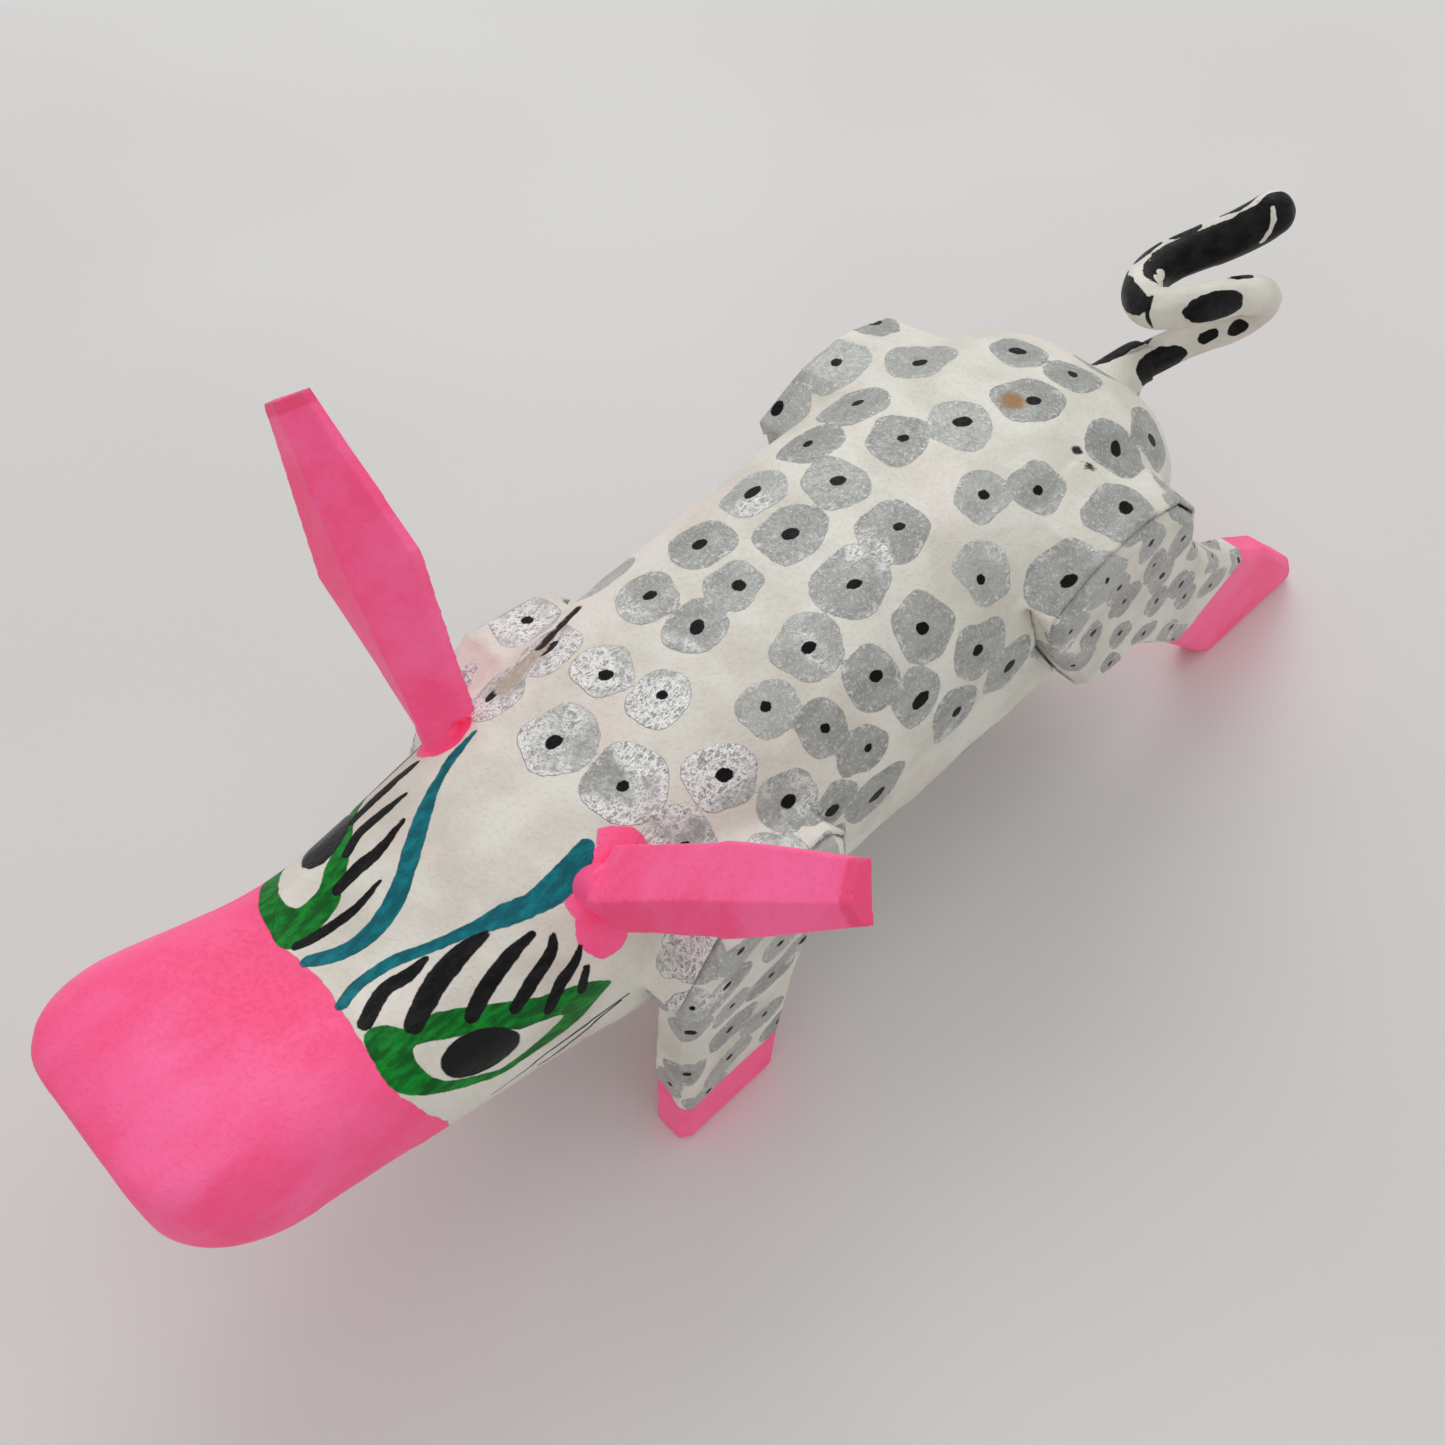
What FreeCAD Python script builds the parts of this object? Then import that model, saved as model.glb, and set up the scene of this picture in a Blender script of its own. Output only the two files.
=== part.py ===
import FreeCAD, Part
import math
import os
import Sketcher

# Carved wooden animal in the alebrije style: one carved body, four slab legs let into its flanks and
# nailed, two plug-in ears and a corkscrew tail, with filler worked into the seams.
# Millimetres. The animal faces -Y, its left is +X, and its hooves stand on Z = 0.
# Every sub-part is drawn about the neck (X = Y = 0 there) and moved by the placement to neck_x, neck_y.

os.makedirs("parts", exist_ok=True)
doc = FreeCAD.newDocument("alebrije")

# ---------------------------------------------------------------- driving dimensions
# Body stations from nose to tail root: distance behind the neck, half width, top and bottom heights,
# sideways shift of the centre, and the share of the smaller half size taken by the rounded corners.
STATIONS = {
    "nose": (-47.2, 8.2, 41.2, 34.8, -1.2, 0.90),
    "snout": (-45.3, 12.2, 42.8, 32.6, -1.2, 0.90),
    "muzzle": (-41.0, 14.6, 43.5, 29.8, -1.1, 0.92),
    "bridge": (-34.0, 14.9, 43.0, 26.6, -0.8, 0.92),
    "brow": (-25.0, 14.6, 41.0, 23.4, -0.3, 0.92),
    "cheek": (-13.0, 15.1, 42.8, 19.6, 0.0, 0.85),
    "neck": (-3.0, 16.2, 44.6, 17.0, 0.0, 0.80),
    "shoulder": (10.0, 17.8, 46.8, 15.0, 0.0, 0.80),
    "back": (26.0, 18.6, 49.0, 14.5, 0.0, 0.80),
    "loin": (44.0, 19.0, 51.0, 15.0, 0.0, 0.80),
    "haunch": (60.0, 19.3, 51.4, 17.0, 0.0, 0.85),
    "croup": (74.0, 17.8, 50.2, 19.5, 0.0, 0.90),
    "rump": (84.5, 13.2, 44.0, 22.6, 0.0, 0.92),
    "dock": (91.0, 6.6, 38.4, 27.0, 0.0, 0.92),
}
STATION_FIELDS = ("station", "half_width", "top", "bottom", "shift", "corner_share")

VALUES = {
    "neck_x": -1.75,
    "neck_y": -34.85,
    "seat_x": 17.5,
    "front_thick": 4.8,
    "rear_thick": 4.4,
    "leg_edge": 1.1,
    "nail_radius": 0.8,
    "nail_length": 11.0,
    "nail_head": 1.7,
    "nail_sunk": 0.5,
    "ear_length": 33.4,
    "ear_wide_at": 17.0,
    "ear_root_half": 2.7,
    "left_wide_half": 4.3,
    "right_wide_half": 5.4,
    "ear_tip_half": 2.6,
    "ear_edge": 1.4,
    "ear_ridge": 3.6,
    "ear_tip_ridge": 2.5,
    "left_ridge_shift": 0.9,
    "right_ridge_shift": 0.0,
    "ear_root_gap": 0.3,
    "tenon_radius": 1.6,
    "tenon_length": 8.0,
    "socket_clearance": 0.05,
    "socket_depth": 8.6,
    "ear_seat_radius": 3.8,
    "ear_root_x": 12.2,
    "ear_root_y": -1.9,
    "ear_root_z": 43.2,
    "left_rise": 44.4,
    "left_sweep": 11.3,
    "left_twist": 0.0,
    "right_rise": 53.5,
    "right_sweep": 8.0,
    "right_twist": 10.0,
    "tail_bar": 2.3,
    "putty_reach": 2.2,
    "putty_depth": 6.0,
    "putty_proud": 1.1,
    "seat_cut_depth": 14.4,
    "collar_radius": 5.0,
    "collar_lip": 0.35,
    "collar_length": 7.35,
    "collar_inside": 3.15,
}

# Direction across both ears' blades, before it is squared up with each ear's own length.
EAR_ACROSS = (0.62, -0.58, -0.53)

# Leg outlines seen from the animal's left side, as (distance behind the neck, height).
FRONT_LEG = [(-3, 0), (11.3, 0), (12, 9), (13.8, 20), (17, 30), (20.4, 36.6), (18, 39.6), (8.4, 40.8),
             (4, 38.2), (-1.5, 30), (-2.6, 15)]
REAR_LEG = [(60.5, 24), (66, 22.5), (70.5, 23), (81, 14.5), (87, 8.5), (95.5, 0), (117, 0), (115, 4.5),
            (104, 15), (94.5, 21.5), (88.5, 25), (81, 32), (77, 37), (75.5, 41.5), (71, 46), (64, 48),
            (57, 47), (50.5, 43.5), (52, 37)]
# The parts of each outline that carry filler, from its first to its last corner (by position).
FRONT_SEAM = (4, 9)
REAR_SEAM = (12, 18)
# Nail places on the slabs, in the same view.
FRONT_NAIL = (8, 33)
REAR_NAIL = (63, 36)

# The tail's centre line from inside the rump to its tip, with the bar's radius at each point.
TAIL_LINE = [
    (0, 84, 34.2, 2.3), (0, 91.2, 38.7, 2.3), (1.5, 95, 40.2, 2.25), (3.8, 100.7, 41.5, 2.2),
    (6.4, 104.4, 43.3, 2.25), (8.0, 105, 46.4, 2.3), (7, 99, 49.9, 2.35), (4.9, 94, 50.2, 2.4),
    (1.3, 92.6, 48.6, 2.45), (-2.6, 95.8, 47.4, 2.5), (-3.4, 100.7, 47.8, 2.6), (-0.4, 105, 50.1, 2.7),
    (3.0, 107.6, 53.4, 2.75), (4.1, 108.6, 54.8, 2.7),
]
TAIL_SECTIONS = 48

sheet = doc.addObject("Spreadsheet::Sheet", "Values")


def fill_sheet():
    rows = dict(VALUES)
    for name, numbers in STATIONS.items():
        for field, number in zip(STATION_FIELDS, numbers):
            rows[name + "_" + field] = number
    for number, (alias, value) in enumerate(rows.items(), start=1):
        sheet.set("A%d" % number, alias)
        sheet.set("B%d" % number, str(value))
        sheet.setAlias("B%d" % number, alias)
    doc.recompute()
    return rows


V = fill_sheet()


# ---------------------------------------------------------------- helpers
def vec(x, y, z):
    return FreeCAD.Vector(x, y, z)


def place_about_neck(item, start=vec(0, 0, 0), turn=FreeCAD.Rotation()):
    """Placement of an item drawn about the neck, with its own start point and rotation there."""
    item.Placement = FreeCAD.Placement(start, turn)
    item.setExpression("Placement.Base.x", "%.4f + Values.neck_x" % start.x)
    item.setExpression("Placement.Base.y", "%.4f + Values.neck_y" % start.y)


def new_body(label):
    body = doc.addObject("PartDesign::Body", label)
    body.Label = label
    place_about_neck(body)
    return body


def new_sketch(body, name, role):
    plane = [f for f in body.Origin.OriginFeatures if f.Role == role][0]
    sketch = body.newObject("Sketcher::SketchObject", name)
    sketch.AttachmentSupport = (plane, [""])
    sketch.MapMode = "FlatFace"
    return sketch


def add_polygon(sketch, points):
    """Closed outline, each corner held by its own distances from the origin."""
    count = len(points)
    for start, end in zip(points, points[1:] + points[:1]):
        sketch.addGeometry(Part.LineSegment(vec(start[0], start[1], 0), vec(end[0], end[1], 0)))
    for index in range(count):
        sketch.addConstraint(Sketcher.Constraint("Coincident", index, 2, (index + 1) % count, 1))
    for index, (across, up) in enumerate(points):
        sketch.addConstraint(Sketcher.Constraint("DistanceX", -1, 1, index, 1, across))
        sketch.addConstraint(Sketcher.Constraint("DistanceY", -1, 1, index, 1, up))


def add_rounded_rectangle(sketch, half_w, half_h, corner):
    """Rectangle about the origin with round corners; returns nothing, names its driving constraints."""
    flat_w = half_w - corner
    flat_h = half_h - corner
    corners = [(flat_w, flat_h, 0), (-flat_w, flat_h, 90), (-flat_w, -flat_h, 180), (flat_w, -flat_h, 270)]
    sides = [((half_w, -flat_h), (half_w, flat_h)), ((flat_w, half_h), (-flat_w, half_h)),
             ((-half_w, flat_h), (-half_w, -flat_h)), ((-flat_w, -half_h), (flat_w, -half_h))]
    for side, (cx, cy, turn) in zip(sides, corners):
        sketch.addGeometry(Part.LineSegment(vec(*side[0], 0), vec(*side[1], 0)))
        circle = Part.Circle(vec(cx, cy, 0), vec(0, 0, 1), corner)
        sketch.addGeometry(Part.ArcOfCircle(circle, math.radians(turn), math.radians(turn + 90)))
    for index in range(8):
        sketch.addConstraint(Sketcher.Constraint("Tangent", index, 2, (index + 1) % 8, 1))
    for index in (0, 4):
        sketch.addConstraint(Sketcher.Constraint("Vertical", index))
        sketch.addConstraint(Sketcher.Constraint("Horizontal", index + 2))
    for index in (3, 5, 7):
        sketch.addConstraint(Sketcher.Constraint("Equal", 1, index))
    named = [("right", "DistanceX", (-1, 1, 0, 1), half_w), ("left", "DistanceX", (4, 1, -1, 1), half_w),
             ("above", "DistanceY", (-1, 1, 2, 1), half_h), ("below", "DistanceY", (6, 1, -1, 1), half_h)]
    for name, kind, where, size in named:
        number = sketch.addConstraint(Sketcher.Constraint(kind, *where, size))
        sketch.renameConstraint(number, name)
    number = sketch.addConstraint(Sketcher.Constraint("Radius", 1, corner))
    sketch.renameConstraint(number, "corner")


def offset_outline(points, reach):
    """Outline moved outwards by reach at every corner (points run anticlockwise)."""
    moved = []
    count = len(points)
    for index, here in enumerate(points):
        before = points[index - 1]
        after = points[(index + 1) % count]
        normals = []
        for start, end in ((before, here), (here, after)):
            length = math.hypot(end[0] - start[0], end[1] - start[1])
            normals.append(((end[1] - start[1]) / length, (start[0] - end[0]) / length))
        mean = (normals[0][0] + normals[1][0], normals[0][1] + normals[1][1])
        scale = reach / (1 + normals[0][0] * normals[1][0] + normals[0][1] * normals[1][1])
        moved.append((here[0] + mean[0] * scale, here[1] + mean[1] * scale))
    return moved


def outer_edges(shape, x_face):
    """Names of the edges that lie on the slab's outer face."""
    names = []
    for number, edge in enumerate(shape.Edges, start=1):
        if all(abs(vertex.X - x_face) < 0.01 for vertex in edge.Vertexes):
            names.append("Edge%d" % number)
    return names


def cut(label, base, tools):
    """base minus tools, as a document object with its own label; the inputs stay as sources."""
    result = base
    for number, tool in enumerate(tools, start=1):
        step = doc.addObject("Part::Cut", "%s_cut%d" % (label, number))
        step.Base = result
        step.Tool = tool
        result = step
    result.Label = label
    return result


def drill(name, radius, length, start, axis):
    """Cylinder from start along axis, its radius and length given as expressions."""
    cylinder = doc.addObject("Part::Cylinder", name)
    cylinder.setExpression("Radius", radius)
    cylinder.setExpression("Height", length)
    place_about_neck(cylinder, start, FreeCAD.Rotation(vec(0, 0, 1), axis))
    return cylinder


# ---------------------------------------------------------------- carved body
def body_loft():
    body = new_body("body_block")
    sections = []
    for name in STATIONS:
        key = "Values." + name + "_"
        sketch = new_sketch(body, "section_" + name, "XZ_Plane")
        half_h = (V[name + "_top"] - V[name + "_bottom"]) / 2
        corner = V[name + "_corner_share"] * min(V[name + "_half_width"], half_h)
        add_rounded_rectangle(sketch, V[name + "_half_width"], half_h, corner)
        half_expression = "(%stop - %sbottom) / 2" % (key, key)
        for side in ("right", "left"):
            sketch.setExpression("Constraints." + side, key + "half_width")
        for side in ("above", "below"):
            sketch.setExpression("Constraints." + side, half_expression)
        sketch.setExpression("Constraints.corner", "%scorner_share * min(%shalf_width; %s)"
                             % (key, key, half_expression))
        sketch.setExpression("AttachmentOffset.Base.x", key + "shift")
        sketch.setExpression("AttachmentOffset.Base.y", "(%stop + %sbottom) / 2" % (key, key))
        sketch.setExpression("AttachmentOffset.Base.z", "-%sstation" % key)
        sections.append(sketch)
    doc.recompute()
    loft = body.newObject("PartDesign::AdditiveLoft", "carving")
    loft.Profile = sections[0]
    loft.Sections = sections[1:]
    loft.Ruled = False
    doc.recompute()
    return body


# ---------------------------------------------------------------- legs
def leg(label, outline, side, thickness):
    """Flat slab pad on the flank: side is +1 on the animal's left and -1 on its right."""
    body = new_body(label + "_slab")
    sketch = new_sketch(body, label + "_outline", "YZ_Plane")
    add_polygon(sketch, outline)
    start = "Values.seat_x" if side > 0 else "-(Values.seat_x + Values.%s)" % thickness
    sketch.setExpression("AttachmentOffset.Base.z", start)
    doc.recompute()
    pad = body.newObject("PartDesign::Pad", label + "_pad")
    pad.Profile = sketch
    pad.setExpression("Length", "Values." + thickness)
    doc.recompute()
    edge = body.newObject("PartDesign::Chamfer", label + "_carved_edge")
    outer_face = side * (V["seat_x"] + V[thickness])
    edge.Base = (pad, outer_edges(pad.Shape, outer_face))
    edge.setExpression("Size", "Values.leg_edge")
    doc.recompute()
    body.Tip = edge
    return body


def seat_pocket(label, outline, side):
    """Block that saws the flat seat for a slab into the flank."""
    body = new_body(label + "_seat")
    sketch = new_sketch(body, label + "_seat_outline", "YZ_Plane")
    add_polygon(sketch, outline)
    start = "Values.seat_x" if side > 0 else "-(Values.seat_x + Values.seat_cut_depth)"
    sketch.setExpression("AttachmentOffset.Base.z", start)
    doc.recompute()
    pad = body.newObject("PartDesign::Pad", label + "_seat_pad")
    pad.Profile = sketch
    pad.setExpression("Length", "Values.seat_cut_depth")
    doc.recompute()
    return body


def nail(label, place, side, thickness):
    """Headed nail, driven square through the slab and sunk under its filled and painted face."""
    body = new_body(label)
    sketch = new_sketch(body, label + "_half", "XY_Plane")
    head_depth = V["nail_head"] / 2
    profile = [(0, 0), (V["nail_head"], 0), (V["nail_radius"], head_depth),
               (V["nail_radius"], V["nail_length"]), (0, V["nail_length"])]
    add_polygon(sketch, profile)
    axis_line = [f for f in body.Origin.OriginFeatures if f.Role == "Y_Axis"][0]
    doc.recompute()
    turned = body.newObject("PartDesign::Revolution", label + "_turned")
    turned.Profile = sketch
    turned.ReferenceAxis = (axis_line, [""])
    turned.Angle = 360
    doc.recompute()
    head = vec(side * (V["seat_x"] + V[thickness] - V["nail_sunk"]), place[0], place[1])
    place_about_neck(body, head, FreeCAD.Rotation(vec(0, 1, 0), vec(-side, 0, 0)))
    head_x = "%d * (Values.seat_x + Values.%s - Values.nail_sunk)" % (side, thickness)
    body.setExpression("Placement.Base.x", head_x + " + Values.neck_x")
    return body


def seam_putty(label, outline, seam, side):
    """Sloped bead of filler round the slab's seam, before the body and the slab are cut out of it."""
    first, last = seam
    wide = offset_outline(outline, V["putty_reach"])
    close = offset_outline(outline, V["putty_reach"] / 4)
    inner = offset_outline(outline, -V["putty_reach"])
    count = len(outline)
    run = [index % count for index in range(first, last + 1)]
    foot = [wide[i] for i in run] + [inner[i] for i in reversed(run)]
    crest = [close[i] for i in run] + [inner[i] for i in reversed(run)]
    body = new_body(label + "_bead")
    sketches = []
    for name, points, depth in (("foot", foot, "-Values.putty_depth"), ("crest", crest, "Values.putty_proud")):
        sketch = new_sketch(body, "%s_%s" % (label, name), "YZ_Plane")
        add_polygon(sketch, points)
        sketch.setExpression("AttachmentOffset.Base.z", "%d * (Values.seat_x + %s)" % (side, depth))
        sketches.append(sketch)
    doc.recompute()
    loft = body.newObject("PartDesign::AdditiveLoft", label + "_loft")
    loft.Profile = sketches[0]
    loft.Sections = [sketches[1]]
    loft.Ruled = True
    doc.recompute()
    return body


# ---------------------------------------------------------------- ears
def ear_turn(side, name):
    """Directions along the ear's length and across its blade, on the animal's own side."""
    rise = math.radians(V[name + "_rise"])
    sweep = math.radians(V[name + "_sweep"])
    twist = math.radians(V[name + "_twist"])
    along = vec(math.cos(rise) * math.cos(sweep), math.cos(rise) * math.sin(sweep), math.sin(rise))
    across = vec(*EAR_ACROSS)
    across = (across - along * along.dot(across)).normalize()
    face = along.cross(across)
    across = across * math.cos(twist) + face * math.sin(twist)
    along.x *= side
    across.x *= side
    return along, across


def ear(label, side, name):
    along, across = ear_turn(side, name)
    body = new_body(label)
    half = V["ear_ridge"] / 2
    stations = [("root", "Values.ear_root_gap", "ear_root_half", "ear_ridge"),
                ("wide", "Values.ear_wide_at", name + "_wide_half", "ear_ridge"),
                ("tip", "Values.ear_length", "ear_tip_half", "ear_tip_ridge")]
    sketches = []
    for station, where, width, ridge in stations:
        sketch = new_sketch(body, "%s_%s" % (label, station), "YZ_Plane")
        w = V[width]
        points = [(-w, -half), (w, -half), (w, -half + V["ear_edge"]),
                  (V[name + "_ridge_shift"], -half + V[ridge]), (-w, -half + V["ear_edge"])]
        if side > 0:
            points = [(across_, -up) for across_, up in reversed(points)]
        add_polygon(sketch, points)
        sketch.setExpression("AttachmentOffset.Base.z", where)
        sketches.append(sketch)
    doc.recompute()
    blade = body.newObject("PartDesign::AdditiveLoft", label + "_blade")
    blade.Profile = sketches[0]
    blade.Sections = sketches[1:]
    blade.Ruled = True
    doc.recompute()
    circle = new_sketch(body, label + "_tenon_end", "YZ_Plane")
    circle.addGeometry(Part.Circle(vec(0, 0, 0), vec(0, 0, 1), V["tenon_radius"]))
    circle.addConstraint(Sketcher.Constraint("Coincident", 0, 3, -1, 1))
    number = circle.addConstraint(Sketcher.Constraint("Radius", 0, V["tenon_radius"]))
    circle.renameConstraint(number, "radius")
    circle.setExpression("Constraints.radius", "Values.tenon_radius")
    circle.setExpression("AttachmentOffset.Base.z", "-Values.tenon_length")
    doc.recompute()
    tenon = body.newObject("PartDesign::Pad", label + "_tenon")
    tenon.Profile = circle
    tenon.setExpression("Length", "Values.tenon_length + 1")
    doc.recompute()
    body.Tip = tenon
    up = along.cross(across)
    turn = FreeCAD.Rotation(along, across, up, "XYZ")
    place_about_neck(body, vec(side * V["ear_root_x"], V["ear_root_y"], V["ear_root_z"]), turn)
    body.setExpression("Placement.Base.x", "%d * Values.ear_root_x + Values.neck_x" % side)
    body.setExpression("Placement.Base.y", "Values.ear_root_y + Values.neck_y")
    body.setExpression("Placement.Base.z", "Values.ear_root_z")
    return body


def ear_socket_tools(label, side, name):
    """Drill for the ear's tenon and the spot face its root sits over."""
    along = ear_turn(side, name)[0]
    root = vec(side * V["ear_root_x"], V["ear_root_y"], V["ear_root_z"])
    bottom = root - along * V["socket_depth"]
    socket = drill(label + "_socket", "Values.tenon_radius + Values.socket_clearance",
                   "Values.socket_depth + Values.ear_seat_radius", bottom, along)
    spot_face = drill(label + "_spot_face", "Values.ear_seat_radius", "2 * Values.ear_seat_radius",
                      root, along)
    return [socket, spot_face]


# ---------------------------------------------------------------- tail
def swept_bar(points):
    """Round bar of changing radius along a smooth line through points of (x, y, z, radius)."""
    line = Part.BSplineCurve()
    line.interpolate([vec(x, y, z) for x, y, z, _ in points])
    marks = [line.parameter(vec(x, y, z)) for x, y, z, _ in points]
    first, last = line.FirstParameter, line.LastParameter
    side = vec(1, 0, 0)
    rings = []
    for step in range(TAIL_SECTIONS + 1):
        where = first + (last - first) * step / TAIL_SECTIONS
        after = max(i for i in range(len(marks) - 1) if marks[i] <= where + 1e-9)
        share = (where - marks[after]) / (marks[after + 1] - marks[after])
        radius = points[after][3] * (1 - share) + points[after + 1][3] * share
        centre = line.value(where)
        along = vec(*line.tangent(where)[0])
        side = (side - along * side.dot(along)).normalize()
        circle = Part.Circle()
        circle.Center = centre
        circle.Axis = along
        circle.Radius = radius
        circle.XAxis = side
        rings.append(Part.Wire(circle.toShape()))
    bar = Part.makeLoft(rings, True, False)
    tip_radius = points[-1][3]
    cap = Part.makeSphere(tip_radius, line.value(last))
    return bar.fuse(cap)


def tail_part():
    tail = doc.addObject("Part::Feature", "tail")
    tail.Label = "tail"
    tail.Shape = swept_bar(TAIL_LINE)
    place_about_neck(tail)
    return tail


def tail_axis():
    """Direction in which the tail leaves the rump."""
    return (vec(*TAIL_LINE[1][:3]) - vec(*TAIL_LINE[0][:3])).normalize()


def collar_source():
    """Cone of filler that fairs the tail's root into the rump."""
    along = tail_axis()
    root = vec(*TAIL_LINE[1][:3]) - along * V["collar_inside"]
    cone = doc.addObject("Part::Cone", "tail_putty_cone")
    cone.setExpression("Radius1", "Values.collar_radius")
    cone.setExpression("Radius2", "Values.tail_bar + Values.collar_lip")
    cone.setExpression("Height", "Values.collar_length")
    place_about_neck(cone, root, FreeCAD.Rotation(vec(0, 0, 1), along))
    return cone


# ---------------------------------------------------------------- assembly
LEGS = [
    ("leg_front_left", FRONT_LEG, 1, "front_thick", FRONT_NAIL, FRONT_SEAM),
    ("leg_front_right", FRONT_LEG, -1, "front_thick", FRONT_NAIL, FRONT_SEAM),
    ("leg_rear_left", REAR_LEG, 1, "rear_thick", REAR_NAIL, REAR_SEAM),
    ("leg_rear_right", REAR_LEG, -1, "rear_thick", REAR_NAIL, REAR_SEAM),
]


def build():
    block = body_loft()
    slabs = {}
    nails = {}
    body_tools = []
    for label, outline, side, thickness, place, seam in LEGS:
        slabs[label] = leg(label, outline, side, thickness)
        nails[label] = nail(label.replace("leg", "nail"), place, side, thickness)
        body_tools += [seat_pocket(label, outline, side), nails[label]]
    ears = [ear("ear_left", 1, "left"), ear("ear_right", -1, "right")]
    body_tools += ear_socket_tools("ear_left", 1, "left") + ear_socket_tools("ear_right", -1, "right")
    tail = tail_part()
    body_tools.append(tail)
    body = cut("body", block, body_tools)
    parts = [body] + ears + [tail]
    for label, outline, side, thickness, place, seam in LEGS:
        parts.append(cut(label, slabs[label], [nails[label]]))
        parts.append(nails[label])
    for label, outline, side, thickness, place, seam in LEGS:
        bead = seam_putty(label, outline, seam, side)
        parts.append(cut(label.replace("leg", "putty"), bead, [block, slabs[label]]))
    parts.append(cut("putty_tail", collar_source(), [block, tail]))
    doc.recompute()
    return parts


parts = build()
for item in doc.Objects:
    if "Invalid" in item.State or "Error" in item.State:
        raise RuntimeError("%s: %s" % (item.Label, item.State))
for item in parts:
    if item.Shape.isNull() or not item.Shape.isValid():
        raise RuntimeError("bad shape: " + item.Label)
    item.Shape.exportStep("parts/%s.step" % item.Label)
    box = item.Shape.BoundBox
    print("%-18s solids %d  volume %8.1f  x %6.1f %6.1f  y %6.1f %6.1f  z %6.1f %6.1f"
          % (item.Label, len(item.Shape.Solids), item.Shape.Volume, box.XMin, box.XMax,
             box.YMin, box.YMax, box.ZMin, box.ZMax))
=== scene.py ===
import math

import bmesh
import bpy
import numpy as np
from mathutils import Euler, Matrix, Vector
from mathutils.bvhtree import BVHTree
from mathutils.kdtree import KDTree
from mathutils.noise import noise as lattice_noise


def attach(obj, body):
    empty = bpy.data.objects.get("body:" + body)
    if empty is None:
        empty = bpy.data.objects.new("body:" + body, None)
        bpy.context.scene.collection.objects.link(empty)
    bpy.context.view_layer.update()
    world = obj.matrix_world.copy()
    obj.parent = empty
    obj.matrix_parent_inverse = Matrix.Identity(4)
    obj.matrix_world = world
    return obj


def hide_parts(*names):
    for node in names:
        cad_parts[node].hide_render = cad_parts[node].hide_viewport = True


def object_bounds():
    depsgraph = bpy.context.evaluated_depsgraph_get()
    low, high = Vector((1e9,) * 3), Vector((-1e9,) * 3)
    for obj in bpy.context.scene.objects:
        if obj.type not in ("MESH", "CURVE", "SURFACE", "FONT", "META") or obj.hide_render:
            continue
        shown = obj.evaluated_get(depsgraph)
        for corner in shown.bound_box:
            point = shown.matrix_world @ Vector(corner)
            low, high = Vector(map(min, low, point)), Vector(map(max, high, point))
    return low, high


# Looks of the carved and painted animal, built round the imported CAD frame.
# Meshes are worked in millimetres and scaled back to metres at the end. Paint is laid on as signed
# distances in millimetres, one number per vertex, positive inside the painted mark.

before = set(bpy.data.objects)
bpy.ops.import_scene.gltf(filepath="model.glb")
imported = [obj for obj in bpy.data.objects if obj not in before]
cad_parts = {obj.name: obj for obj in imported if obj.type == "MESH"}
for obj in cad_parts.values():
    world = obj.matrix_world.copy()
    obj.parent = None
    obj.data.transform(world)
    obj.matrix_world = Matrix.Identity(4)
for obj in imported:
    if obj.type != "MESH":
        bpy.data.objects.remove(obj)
cad_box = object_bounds()

MM = 0.001
NECK = np.array([-1.75, -34.85, 0.0])       # middle of the neck, in the row frame
FIGURE = "figure"
random = np.random.default_rng(7)

# ---------------- colours (linear)
def srgb(red, green, blue):
    """Linear colour of a paint from its 0..255 display values."""
    channels = [value / 255 for value in (red, green, blue)]
    return tuple(c / 12.92 if c < 0.04045 else ((c + 0.055) / 1.055) ** 2.4 for c in channels) + (1.0,)


CREAM = srgb(238, 236, 226)
CREAM_SHADE = srgb(220, 216, 204)
CREAM_PINK = srgb(240, 224, 218)
# Painted glow: light that the pink paint gives off although it is no lamp, to brighten it in shade.
PINK_PAINTED_GLOW = srgb(255, 70, 120)
PAINTED_GLOW_STRENGTH = 0.12
NO_GLOW = (0.0, 0.0, 0.0, 1.0)
PAINT_RELIEF = 0.14         # millimetres
WOOD = srgb(190, 150, 100)
PINK = srgb(252, 80, 136)
PINK_LIGHT = srgb(255, 108, 166)
PINK_DEEP = srgb(226, 58, 102)
SILVER = srgb(186, 188, 184)
SILVER_DARK = srgb(150, 152, 148)
# Painted shade in the foil's fold lines, and the grey of the ears' worn tips.
CREASE_SHADE_AND_WORN_GREY = srgb(132, 134, 133)
# Painted sheen: the lighter grey of the foil where it catches the light.
FOIL_PAINTED_SHEEN = srgb(204, 206, 203)
# Painted glints and bright flecks of the glitter.
SILVER_PAINTED_GLINT = srgb(252, 252, 250)
BLACK = srgb(12, 12, 13)
BLACK_SOFT = srgb(34, 34, 36)
GREEN = srgb(2, 150, 44)
GREEN_DEEP = srgb(0, 92, 26)
TEAL = srgb(0, 98, 110)
TEAL_LIGHT = srgb(0, 132, 144)
KNOT = srgb(168, 128, 84)
OLIVE = srgb(150, 138, 112)
SLOT_BROWN = srgb(52, 34, 30)
STEEL = srgb(140, 140, 145)

# ---------------- painted marks
# Head marks are in unrolled paint coordinates: distance behind the neck, then the distance round the
# head from the middle of the back, positive towards the animal's left (UNROLL_RADIUS about UNROLL_AXIS).
UNROLL_RADIUS = 15.0
UNROLL_AXIS = (-0.3, 31.0)
HEAD_END = 12.0

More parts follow.
